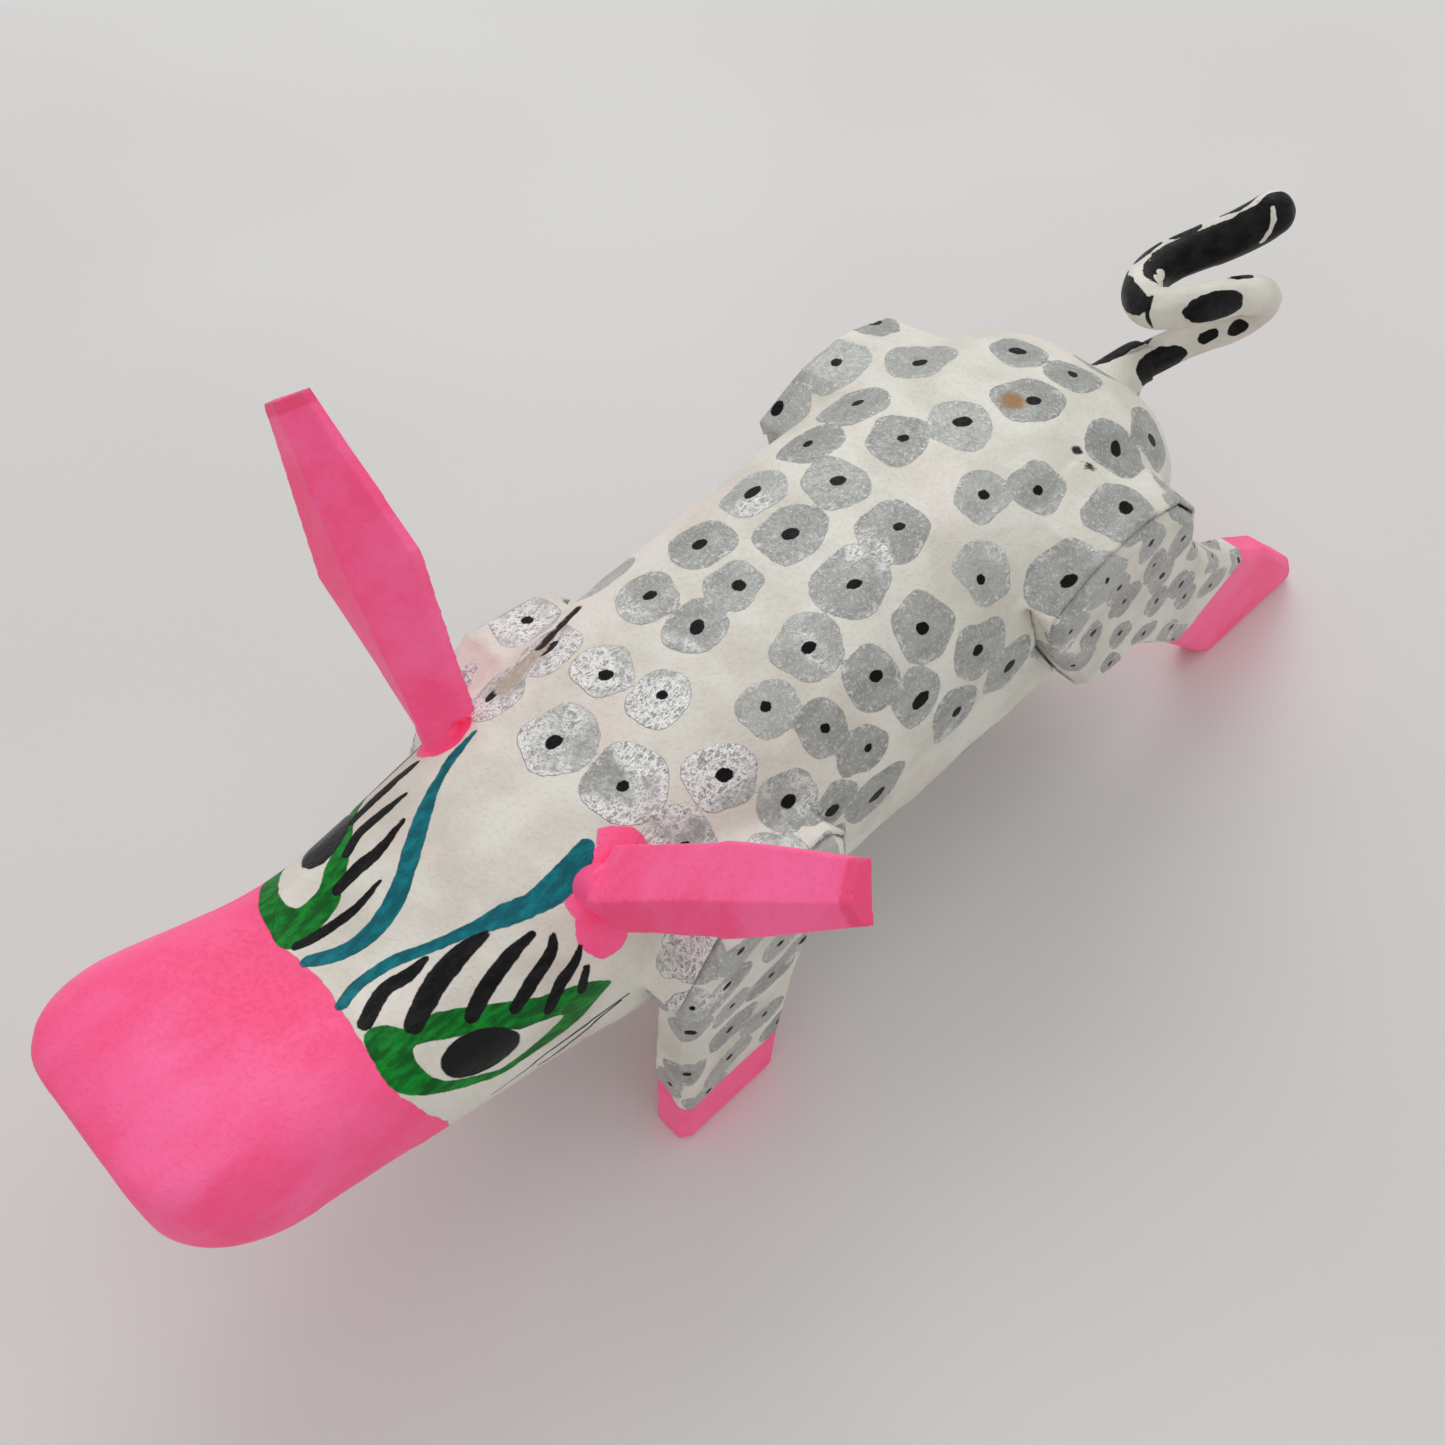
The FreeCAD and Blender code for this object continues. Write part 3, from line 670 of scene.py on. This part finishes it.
def silver_colour(paint, glitter_and_highlight):
    """Glitter paint: streaked grey with a fine grain of painted bright flecks where it is dull, and bright
    foil of painted sheen, glints and fold shade where the glitter lies thick and catches the light.
    """
    streak = paint.noise(1.6, 3.0, 0.65, stretch=(1.0, 0.45, 1.0))
    level = paint.math("MULTIPLY_ADD", paint.field("tone"), 0.4, paint.math("SUBTRACT", streak, 0.15))
    grey = paint.blend(paint.ramp(level, 0.2, 0.85), SILVER_DARK, SILVER)
    # Painted highlights: fine bright flecks in the dull grey, and bright glint lines along the foil.
    grain = paint.ramp(paint.noise(0.3, 3.0, 0.7), 0.5, 0.7, 0.0, 0.42)
    dull = paint.blend(grain, grey, SILVER_PAINTED_GLINT)
    # Painted shade along the foil's fold lines.
    crease_shade = paint.ramp(crumple_line(paint, 0.75), 0.0, 0.045)
    glint = paint.ramp(crumple_line(paint, 0.6), 0.075, 0.02)
    foil = paint.blend(crease_shade, CREASE_SHADE_AND_WORN_GREY, FOIL_PAINTED_SHEEN)
    foil = paint.blend(glint, foil, SILVER_PAINTED_GLINT)
    return paint.blend(glitter_and_highlight, dull, foil)


def glitter_and_highlight_share(paint):
    """Where the glitter lies thick and catches the light, shown as painted highlight: in patches, and along
    the edges of the spots.
    """
    rim = paint.ramp(paint.field("spot"), 1.1, 0.2)
    fleck = paint.ramp(paint.noise(0.7, 2.0), 0.48, 0.62)
    rim_share = paint.math("MULTIPLY", paint.math("MULTIPLY", rim, fleck), 0.55)
    patch = paint.ramp(paint.math("ADD", paint.field("glitter_and_highlight"), paint.noise(2.2, 3.0)), 0.75, 1.2)
    return paint.math("MAXIMUM", rim_share, patch)


def add_spots(paint, coat):
    """Silver spots with their black dots."""
    mask = paint.mask(paint.field("spot"), 0.2, 0.9, 0.14)
    glitter_and_highlight = glitter_and_highlight_share(paint)
    coat.cover(mask, silver_colour(paint, glitter_and_highlight), 0.42, metal=0.15, thickness=0.3)
    wrinkle = paint.noise(0.55, 4.0, 0.7, stretch=(1.0, 0.6, 0.8))
    depth = paint.math("MULTIPLY", glitter_and_highlight, 1.6)
    crumple = paint.math("MULTIPLY", paint.math("MULTIPLY", wrinkle, mask), depth)
    coat.height = paint.math("ADD", coat.height, crumple)
    dot = paint.mask(paint.field("dot"), 0.16, 0.6, 0.1)
    coat.cover(dot, BLACK, 0.4, thickness=0.4, specular=0.12)


def pink_colour(paint):
    """Brushed fluorescent pink with deeper, thinner patches."""
    brushed = paint.noise(2.4, 4.0, 0.6, stretch=(1.0, 0.35, 0.7))
    wide = paint.noise(14.0, 2.0)
    depth = paint.math("MULTIPLY_ADD", brushed, 0.35, paint.math("MULTIPLY", wide, 0.65))
    colour = paint.blend(paint.ramp(depth, 0.36, 0.64), PINK, PINK_LIGHT)
    return paint.blend(paint.ramp(paint.noise(0.8, 4.0, 0.7), 0.68, 0.86, 0.0, 0.6), colour, PINK_DEEP)


def add_pink(paint, coat, field):
    """Fluorescent pink, with a painted glow that gives back a little more light than falls on it and
    brightens it in shade, worn thin on the edges.
    """
    mask = paint.mask(paint.field(field), 0.3, 1.4, 0.14)
    coat.cover(mask, pink_colour(paint), 0.5, thickness=0.6, glow=PINK_PAINTED_GLOW)
    worn = paint.math("MULTIPLY_ADD", paint.noise(0.7, 4.0, 0.7), 0.5, paint.field("edge"))
    worn = paint.math("MULTIPLY", paint.ramp(worn, 0.56, 0.74), mask)
    coat.cover(worn, PINK_DEEP, 0.62, thickness=-0.3, glow=PINK_PAINTED_GLOW)


def streaked(paint, dark, light, size=0.8):
    brushed = paint.noise(size, 3.0, 0.6, stretch=(1.0, 0.35, 1.0))
    return paint.blend(paint.ramp(brushed, 0.35, 0.7), dark, light)


def add_patches(paint, coat):
    """The tail's black patches."""
    patch = paint.mask(paint.field("patch"), 0.4, 1.6, 0.1)
    coat.cover(patch, streaked(paint, BLACK, BLACK_SOFT, 1.4), 0.4, thickness=0.5, specular=0.15)


def finish_coat(paint, coat):
    height = paint.math("MULTIPLY_ADD", pitted(paint), 0.6, coat.height)
    # Painted glow from the pink paint, at one strength all over.
    paint.set(paint.shader.inputs["Emission Color"], coat.glow)
    paint.shader.inputs["Emission Strength"].default_value = PAINTED_GLOW_STRENGTH
    return paint.finish(coat.colour, coat.roughness, paint.bump(height, 1.0, PAINT_RELIEF), coat.metal,
                        coat.specular)


def body_material():
    paint = Paint("body_paint")
    coat = cream_coat(paint)
    add_spots(paint, coat)
    filler = paint.mask(paint.field("olive"), 0.7, 1.1, 0.4)
    coat.cover(filler, paint.blend(paint.noise(0.8, 4.0), OLIVE, CREAM_SHADE), 0.75, thickness=0.4)
    slot = paint.mask(paint.field("slot"), 0.3, 0.8, 0.25)
    coat.cover(slot, SLOT_BROWN, 0.8, thickness=-1.2)
    knot = paint.mask(paint.field("knot"), 0.6, 0.8, 0.9)
    coat.cover(knot, KNOT, 0.6, thickness=-0.4)
    speck = paint.mask(paint.field("speck"), 0.35, 0.5, 0.3)
    coat.cover(speck, BLACK_SOFT, 0.7)
    add_patches(paint, coat)
    add_pink(paint, coat, "pink")
    colours = {"green": (GREEN_DEEP, GREEN, 0.16, 0.9, 0.2), "teal": (TEAL, TEAL_LIGHT, 0.16, 0.9, 0.2),
               "black": (BLACK, BLACK_SOFT, 0.14, 0.8, 0.15)}
    for name, (dark, light, wobble, size, specular) in colours.items():
        mask = paint.mask(paint.field(name), wobble, size)
        coat.cover(mask, streaked(paint, dark, light), 0.45, thickness=0.6, specular=specular)
    pupil = paint.mask(paint.field("pupil"), 0.12, 0.9)
    coat.cover(pupil, BLACK, 0.3, thickness=0.7, specular=0.25)
    for number in range(len(MOUTH_LINES)):
        off_line = paint.math("ABSOLUTE", paint.field("mouth%d" % number))
        thin = paint.math("SUBTRACT", 0.15, off_line)
        line = paint.math("MINIMUM", thin, paint.field("mouth_span%d" % number))
        coat.cover(paint.mask(line, 0.07, 2.0, 0.1), BLACK_SOFT, 0.4)
    return finish_coat(paint, coat)


def leg_material():
    paint = Paint("leg_paint")
    coat = cream_coat(paint)
    add_spots(paint, coat)
    add_pink(paint, coat, "pink")
    return finish_coat(paint, coat)


def ear_material():
    paint = Paint("ear_paint")
    coat = Coat(paint, streaked(paint, WOOD, CREAM_SHADE, 1.2), 0.7)
    painted = paint.mask(paint.field("painted"), 0.3, 1.0, 0.2)
    coat.cover(painted, pink_colour(paint), 0.5, thickness=0.5, glow=PINK_PAINTED_GLOW)
    worn = paint.math("MULTIPLY_ADD", paint.noise(0.6, 4.0, 0.7), 0.5, paint.field("edge"))
    coat.cover(paint.math("MULTIPLY", paint.ramp(worn, 0.42, 0.56), 0.5), PINK_DEEP, 0.6, glow=PINK_PAINTED_GLOW)
    end = paint.mask(paint.field("end"), 0.2, 0.7, 0.3)
    coat.cover(paint.math("MULTIPLY", end, 0.6), PINK_DEEP, 0.6, glow=PINK_PAINTED_GLOW)
    tip = paint.math("MULTIPLY", paint.ramp(worn, 0.33, 0.43), paint.ramp(paint.field("tip"), 0.0, 0.5))
    coat.cover(tip, CREASE_SHADE_AND_WORN_GREY, 0.55)
    return finish_coat(paint, coat)


def tail_material():
    paint = Paint("tail_paint")
    coat = cream_coat(paint)
    add_patches(paint, coat)
    chip = paint.mask(paint.field("chip"), 0.5, 0.8, 0.15)
    coat.cover(chip, CREAM_SHADE, 0.6, thickness=-0.5)
    return finish_coat(paint, coat)


def nail_material():
    paint = Paint("nail_steel")
    drawn = paint.noise(0.3, 3.0, 0.6, stretch=(0.2, 1.0, 1.0))
    colour = paint.blend(paint.ramp(drawn, 0.4, 0.7), STEEL, BLACK_SOFT)
    height = paint.math("MULTIPLY_ADD", paint.noise(0.6, 3.0), 0.5, drawn)
    return paint.finish(colour, paint.ramp(drawn, 0.3, 0.8, 0.3, 0.55), paint.bump(height, 0.6, 0.05), 1.0)


# ---------------- pieces
BODY_VOXEL = 0.42
LEG_VOXEL = 0.34
EAR_VOXEL = 0.24
TAIL_VOXEL = 0.26
ALONG_BODY = np.array([0.0, 1.0, 0.0])


def skin_place(tree, y, w):
    """Point and normal of the skin where paint coordinates y and w fall."""
    angle = w / UNROLL_RADIUS
    outwards = Vector((math.sin(angle), 0, math.cos(angle)))
    start = Vector((UNROLL_AXIS[0], y, UNROLL_AXIS[1])) + Vector(NECK)
    place, normal, _, _ = tree.ray_cast(start + outwards * 60, -outwards)
    return place, normal


def room_between(centres, most):
    """Half the way from each centre to the next one, up to most."""
    gaps = np.linalg.norm(centres[:, None] - centres[None], axis=2) + np.eye(len(centres)) * 1e3
    return np.minimum(gaps.min(1) / 2, most)


def body_spots(piece, points, normals):
    """The painter's first spots, then more of them wherever there is still room."""
    tree = BVHTree.FromObject(piece, bpy.context.evaluated_depsgraph_get())
    centres = []
    facing = []
    for y, w in SPOTS:
        place, normal = skin_place(tree, y, w)
        if place is not None:
            centres.append(np.array(place) - NECK)
            facing.append(np.array(normal))
    room = points[:, 1] > SPOTS_START
    for index in scatter(points, SPOT_SPACING, np.random.default_rng(3), centres, room):
        centres.append(points[index])
        facing.append(normals[index])
    numbers = np.random.default_rng(11)
    reach = room_between(np.array(centres), 3.95)
    return [make_spot(centre, normal, ALONG_BODY, half * 1.02, half * 0.93, 0.42 + half * 0.08, numbers)
            for centre, normal, half in zip(centres, facing, reach)]


def leg_spots(points, normals, side, rear):
    """The listed spots on the slab's outer face, then more wherever there is still room."""
    listed = REAR_LEG_SPOTS if rear else FRONT_LEG_SPOTS
    face = side * np.abs(points[:, 0]).max()
    flow = np.array([0.0, 0.62, -0.78]) if rear else np.array([0.0, 0.95, 0.3])
    numbers = np.random.default_rng(20 + side + 4 * rear)
    tree = tree_of(points)
    spots = []
    for y, z, half_length, half_width in listed:
        index = tree.find(Vector((face, y, z)))[1]
        spots.append(make_spot(points[index], normals[index], flow, half_length, half_width, 0.42, numbers))
    taken = [spot["centre"] for spot in spots]
    bare = hoof_field(points, rear) < -0.6
    for index in scatter(points, 4.7, numbers, taken, bare):
        spots.append(make_spot(points[index], normals[index], flow, 2.9, 1.9, 0.42, numbers))
    return spots


def line_distance(points, line):
    """Distance from each point to a line of places."""
    best = np.full(len(points), 1e3)
    for start, end in zip(line[:-1], line[1:]):
        best = np.minimum(best, segment_share(points, np.array(start), np.array(end))[1])
    return best


def mark_body(piece, points):
    """Knot, specks, and the groove with its filler behind the right ear."""
    store(piece, "knot", inside_balls(points, [KNOT_MARK])[0])
    store(piece, "speck", union(*inside_balls(points, SPECKS)))
    store(piece, "slot", SLOT_HALF_WIDTH - line_distance(points, SLOT_LINE))
    store(piece, "olive", OLIVE_HALF_WIDTH - line_distance(points, OLIVE_LINE))


def store_glitter_and_highlight(piece, points):
    """Foil on the shoulders, fading towards the rump, with a few bright patches further back: glitter lying
    thick, drawn partly as painted highlight.
    """
    front = np.clip((26 - points[:, 1]) / 14, 0, 1)
    patches = np.clip(lattice(points, 8.0, 12.0) * 2.0 - 0.35, 0, 1) * 0.55
    store(piece, "glitter_and_highlight", np.clip(front * (0.62 + lattice(points, 6.0, 31.0) * 0.5) + patches, 0, 1))


PUTTY_NODES = LEG_PUTTY + ["putty_tail"]


def flare_collar(piece, line):
    """Draws the filler round the tail's root in to the tail, so that it runs out in a hollow curve."""
    points = points_of(piece)
    along, outwards = line.locate(points)
    centre = line.place(along)
    off_axis = np.linalg.norm(points - centre, axis=1)
    share = np.clip((along - COLLAR_FROM) / (COLLAR_TO - COLLAR_FROM), 0, 1)
    near = np.clip((8.0 - off_axis) / 2.0, 0, 1) * (off_axis > COLLAR_LIP)
    drawn = COLLAR_LIP + (off_axis - COLLAR_LIP) * (1 - share) ** 1.4
    move = (drawn - off_axis) * near
    put_points(piece, points + outwards * move[:, None])


def make_body(material, spots):
    nodes = ["body"] + PUTTY_NODES
    piece = remeshed(nodes, "body_carving", BODY_VOXEL, 0.15)
    smooth(piece, 2)
    line = TailLine()
    flare_collar(piece, line)
    whittle(piece, facet=7.5, depth=0.12, grain=0.08)
    points = points_of(piece)
    normals = normals_of(piece)
    spots += body_spots(piece, points, normals)
    paint_spots(piece, points, spots)
    store_glitter_and_highlight(piece, points)
    mark_body(piece, points)
    along, outwards = line.locate(points)
    stem = union(*[tail_patch(along, outwards, line, patch) for patch in TAIL_PATCHES[:2]])
    store(piece, "patch", np.where(along > COLLAR_FROM, stem, -9.0))
    paint_head(piece, points)
    store(piece, "edge", ridge_measure(piece, BODY_VOXEL))
    groove = np.clip(GROOVE_REACH - line_distance(points, SLOT_LINE), 0, GROOVE_DEPTH)
    put_points(piece, points - normals * (groove * GROOVE_STEEPNESS)[:, None])
    return finish_piece(piece, nodes, FIGURE, material)


# Where the hooves' paint ends. Rear: two places on its edge (distance behind the neck, height). Front: its
# height, how much it rises at the front, and how much it dips again on the outer corner.
REAR_HOOF_EDGE = np.array([(82.0, 13.6), (95.0, 21.4)])
FRONT_HOOF_TOP = 9.0
FRONT_HOOF_RISE = 2.2
FRONT_HOOF_DIP = 3.0
LEG_OUTER_FROM = 19.5


def hoof_field(points, rear):
    """Signed distance into the pink hoof."""
    if rear:
        start, end = REAR_HOOF_EDGE
        along = (end - start) / np.linalg.norm(end - start)
        across = np.array([along[1], -along[0]])
        return (points[:, 1:3] - start) @ across
    front = np.clip((1.0 - points[:, 1]) / 4, 0, 1)
    outer = np.clip((np.abs(points[:, 0]) - LEG_OUTER_FROM) / 2.0, 0, 1)
    return FRONT_HOOF_TOP + front * FRONT_HOOF_RISE - outer * front * FRONT_HOOF_DIP - points[:, 2]


def carve_leg(node):
    """The slab's skin, and its spots."""
    rear = "rear" in node
    side = 1 if "left" in node else -1
    piece = remeshed([node], node + "_carving", LEG_VOXEL)
    smooth(piece, 1)
    whittle(piece, facet=5.0, depth=0.10, grain=0.06)
    return piece, leg_spots(points_of(piece), normals_of(piece), side, rear)


def make_leg(node, piece, spots, material):
    points = points_of(piece)
    paint_spots(piece, points, spots)
    # Glitter and painted highlight on the legs: low, in patches.
    store(piece, "glitter_and_highlight", np.clip(lattice(points, 5.0, 12.0) - 0.15, 0, 0.5))
    store(piece, "pink", hoof_field(points, "rear" in node))
    store(piece, "edge", ridge_measure(piece, LEG_VOXEL))
    return finish_piece(piece, [node], FIGURE, material)


def ear_axis(points):
    """Unit direction of the ear from its root to its tip, and how far each point reaches along it."""
    centre = points.mean(0)
    direction = np.linalg.svd((points - centre)[::7], full_matrices=False)[2][0]
    if direction[2] < 0:
        direction = -direction
    return direction, (points - centre) @ direction


# Girth of each painted ear against its CAD blade, which is too slim near the root: pairs of distance from
# the tip and share of the blade's girth.
LEFT_EAR_GIRTHS = [(0, 0.94), (10, 0.95), (18, 0.92), (27, 1.15), (33, 1.45), (36.2, 1.5), (37, 1.0)]
RIGHT_EAR_GIRTHS = [(0, 1.0), (10, 1.12), (18, 1.18), (27, 1.2), (33, 1.3), (36.2, 1.4), (37, 1.0)]


EAR_PAINTED = 36.4          # beyond this the tenon is bare wood
EAR_WORN_TIP = 1.2
EAR_DARK_END = 1.3


def make_ear(node, girths, material):
    piece = remeshed([node], node + "_carving", EAR_VOXEL)
    smooth(piece, 1)
    points = points_of(piece)
    direction, reach = ear_axis(points)
    from_tip = reach.max() - reach
    middle = points.mean(0) + reach[:, None] * direction
    share = np.interp(from_tip, *np.array(girths).T)
    put_points(piece, middle + (points - middle) * share[:, None])
    whittle(piece, facet=4.5, depth=0.06, grain=0.05)
    store(piece, "painted", EAR_PAINTED - from_tip)
    store(piece, "tip", EAR_WORN_TIP - from_tip)
    store(piece, "end", EAR_DARK_END - from_tip)
    store(piece, "edge", ridge_measure(piece, EAR_VOXEL))
    return finish_piece(piece, [node], node, material)


# The tail's centre line about the neck, from inside the rump to its tip.
TAIL_LINE = [
    (0, 84, 34.2), (0, 91.2, 38.7), (1.5, 95, 40.2), (3.8, 100.7, 41.5), (6.4, 104.4, 43.3),
    (8.0, 105, 46.4), (7, 99, 49.9), (4.9, 94, 50.2), (1.3, 92.6, 48.6), (-2.6, 95.8, 47.4),
    (-3.4, 100.7, 47.8), (-0.4, 105, 50.1), (3.0, 107.6, 53.4), (4.1, 108.6, 54.8),
]
# Black patches, about the neck: a place on the skin, half length along the tail, half width round it.
TAIL_PATCHES = [
    (-1.4, 92.3, 41.2, 3.6, 1.6), (3.4, 93.9, 40.7, 3.5, 2.3), (5.4, 99.6, 42.9, 1.7, 0.9),
    (7.5, 102.4, 43.9, 1.9, 1.1), (8.3, 98.2, 47.6, 2.0, 0.7), (7.0, 94.6, 51.0, 3.5, 2.0),
    (6.6, 100.2, 51.8, 2.2, 0.7), (-2.3, 91.7, 48.8, 4.6, 1.7), (-4.4, 93.6, 47.6, 3.0, 1.5),
]
# The upper run is mostly black: where it starts, which way it faces and how far round it reaches (radians),
# then the chips beyond its edge and where along the tail the far side has patches.
TAIL_RADIUS = 2.5
TAIL_BLACK_FROM = 44.0
TAIL_BLACK_FACING = (0.76, -0.43, 0.50)
TAIL_BLACK_SPREAD = 1.25
TAIL_CHIPS = [(-5.4, 99.4, 49.4, 2.2, 0.9), (-3.2, 103.6, 51.4, 2.4, 1.0), (0.6, 107.4, 55.2, 2.6, 1.2)]
FAR_PATCHES_AT = (14.0, 20.0, 26.5, 33.0, 39.5, 46.0, 52.5, 59.0)
# White scrapes on the black: places with a radius, then a thin crack round the tip with its half width.
TAIL_SCRAPES = [(-0.8, 96.1, 49.3, 1.1), (0.3, 95.0, 49.6, 0.8), (-1.6, 97.3, 49.2, 0.7)]
TIP_CRACK = [(4.7, 106.9, 56.8), (5.5, 106.5, 55.8), (5.6, 106.3, 54.5), (5.2, 106.1, 52.7)]
TIP_CRACK_WIDTH = 0.3


# The filler collar along the tail's line: where its flare starts and ends, and its radius at the end.
COLLAR_FROM = 4.5
COLLAR_TO = 12.6
COLLAR_LIP = 2.7


class TailLine:
    """Distance along the tail, and direction off its centre line, for any places near it."""

    def __init__(self):
        self.curve = curve_through(TAIL_LINE, closed=False, steps=8)
        steps = np.linalg.norm(np.diff(self.curve, axis=0), axis=1)
        self.lengths = np.concatenate([[0], np.cumsum(steps)])

    def locate(self, places):
        best = np.full(len(places), 1e3)
        along = np.zeros(len(places))
        centre = np.zeros_like(places)
        for number, (start, end) in enumerate(zip(self.curve[:-1], self.curve[1:])):
            share, distance = segment_share(places, start, end)
            closer = distance < best
            best = np.where(closer, distance, best)
            here = self.lengths[number] + share * (self.lengths[number + 1] - self.lengths[number])
            along = np.where(closer, here, along)
            centre[closer] = (start + share[:, None] * (end - start))[closer]
        outwards = places - centre
        return along, outwards / np.maximum(np.linalg.norm(outwards, axis=1), 1e-6)[:, None]

    def place(self, along):
        """Places on the centre line at these distances along it."""
        return np.stack([np.interp(along, self.lengths, column) for column in self.curve.T], 1)


def oval_patch(along, outwards, where, facing, half_length, half_width):
    """Signed distance from an oval on the tail's skin, at a distance along it and on the side it faces."""
    turn = np.arccos(np.clip(outwards @ facing, -1, 1)) * TAIL_RADIUS
    radius = np.sqrt(((along - where) / half_length) ** 2 + (turn / half_width) ** 2)
    return (1 - radius) * min(half_length, half_width)


def tail_patch(along, outwards, line, patch):
    """Signed distance from a listed patch, positive inside."""
    x, y, z, half_length, half_width = patch
    where, facing = line.locate(np.array([[x, y, z]], float))
    return oval_patch(along, outwards, where[0], facing[0], half_length, half_width)


def far_side_patches(along, outwards):
    """Ovals on the tail's far side, in the same manner as the listed ones."""
    numbers = np.random.default_rng(5)
    made = []
    for where in FAR_PATCHES_AT:
        facing = numbers.normal(0, 0.3, 3) - np.array(TAIL_BLACK_FACING)
        facing = facing / np.linalg.norm(facing)
        made.append(oval_patch(along, outwards, where, facing, 2.8, 1.7))
    return made


def make_tail(material):
    piece = remeshed(["tail"], "tail_carving", TAIL_VOXEL)
    whittle(piece, facet=3.0, depth=0.08, grain=0.06)
    points = points_of(piece)
    line = TailLine()
    along, outwards = line.locate(points)
    facing = np.array(TAIL_BLACK_FACING) / np.linalg.norm(TAIL_BLACK_FACING)
    turn = np.arccos(np.clip(outwards @ facing, -1, 1))
    run = np.minimum((TAIL_BLACK_SPREAD - turn) * TAIL_RADIUS, along - TAIL_BLACK_FROM)
    patches = [tail_patch(along, outwards, line, patch) for patch in TAIL_PATCHES + TAIL_CHIPS]
    patches += far_side_patches(along, outwards)
    scrapes = inside_balls(points, TAIL_SCRAPES)
    crack = TIP_CRACK_WIDTH - line_distance(points, TIP_CRACK)
    store(piece, "patch", np.minimum(union(run, *patches), -union(crack, *scrapes)))
    store(piece, "chip", lattice(points, 1.1, 9.0) * 2.0 - 1.5)
    return finish_piece(piece, ["tail"], FIGURE, material)


LEG_NODES = ["leg_front_left", "leg_front_right", "leg_rear_left", "leg_rear_right"]


def make_animal():
    spots = []
    carved = {}
    for node in LEG_NODES:
        carved[node], own = carve_leg(node)
        spots += own
    make_body(body_material(), spots)
    legs = leg_material()
    nails = nail_material()
    for node, piece in carved.items():
        make_leg(node, piece, spots, legs)
        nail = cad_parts[node.replace("leg", "nail")]
        nail.data.materials.clear()
        nail.data.materials.append(nails)
    ears = ear_material()
    make_ear("ear_left", LEFT_EAR_GIRTHS, ears)
    make_ear("ear_right", RIGHT_EAR_GIRTHS, ears)
    make_tail(tail_material())


# ---------------- stage
def floor_material():
    paint = Paint("floor_paper")
    wide = paint.noise(120.0, 2.0)
    colour = paint.blend(paint.ramp(wide, 0.35, 0.7), srgb(222, 220, 218), srgb(227, 226, 225))
    grain = paint.noise(0.8, 4.0, 0.6)
    return paint.finish(colour, 0.6, paint.bump(grain, 0.25, 0.1), specular=0.3)


FLOOR_HALF = 1.5            # metres


def make_floor():
    half = FLOOR_HALF
    corners = [(-half, -half, 0), (half, -half, 0), (half, half, 0), (-half, half, 0)]
    mesh = bpy.data.meshes.new("floor")
    mesh.from_pydata(corners, [], [(0, 1, 2, 3)])
    floor = bpy.data.objects.new("floor", mesh)
    bpy.context.scene.collection.objects.link(floor)
    mesh.materials.append(floor_material())


WORLD_STRENGTH = 0.56
# Name, place and size in metres, power in watts, colour.
AREA_LIGHTS = [
    ("window", (-0.55, 0.45, 0.75), (0.7, 0.5), 2.9, (0.98, 0.99, 1.0)),
    ("ceiling", (0.1, 0.1, 1.1), (0.8, 0.8), 1.3, (1.0, 0.995, 0.99)),
]
LIGHTS_AIM = Vector((0, 0, 0.03))


def add_area_light(name, place, size, power, colour):
    data = bpy.data.lights.new(name, "AREA")
    data.shape = "RECTANGLE"
    data.size, data.size_y = size
    data.energy = power
    data.color = colour
    light = bpy.data.objects.new(name, data)
    light.location = place
    light.rotation_euler = (LIGHTS_AIM - Vector(place)).to_track_quat("-Z", "Y").to_euler()
    bpy.context.scene.collection.objects.link(light)


def make_lights():
    world = bpy.data.worlds.new("studio")
    world.use_nodes = True
    background = world.node_tree.nodes["Background"]
    background.inputs["Color"].default_value = (1.0, 0.995, 0.985, 1)
    background.inputs["Strength"].default_value = WORLD_STRENGTH
    bpy.context.scene.world = world
    for light in AREA_LIGHTS:
        add_area_light(*light)
    view = bpy.context.scene.view_settings
    view.view_transform = "Standard"
    view.look = "None"
    view.exposure = 0.0
    view.gamma = 1.0


CAMERA_TILT = 54.0          # degrees below the horizon
CAMERA_TURN = 46.0          # degrees from looking along +Y, towards -X
CAMERA_DISTANCE = 0.1539
CAMERA_AIM = Vector((-0.0018, -0.0107, -0.0045))    # from the middle of the CAD box


def make_camera():
    data = bpy.data.cameras.new("camera")
    data.lens = 36.0
    data.sensor_width = 36.0
    data.clip_start = 0.005
    camera = bpy.data.objects.new("camera", data)
    camera.rotation_euler = Euler((math.radians(90 - CAMERA_TILT), 0, math.radians(CAMERA_TURN)))
    back = camera.rotation_euler.to_matrix() @ Vector((0, 0, 1))
    camera.location = (cad_box[0] + cad_box[1]) / 2 + CAMERA_AIM + back * CAMERA_DISTANCE
    bpy.context.scene.collection.objects.link(camera)
    bpy.context.scene.camera = camera


make_animal()
make_floor()
make_lights()
make_camera()
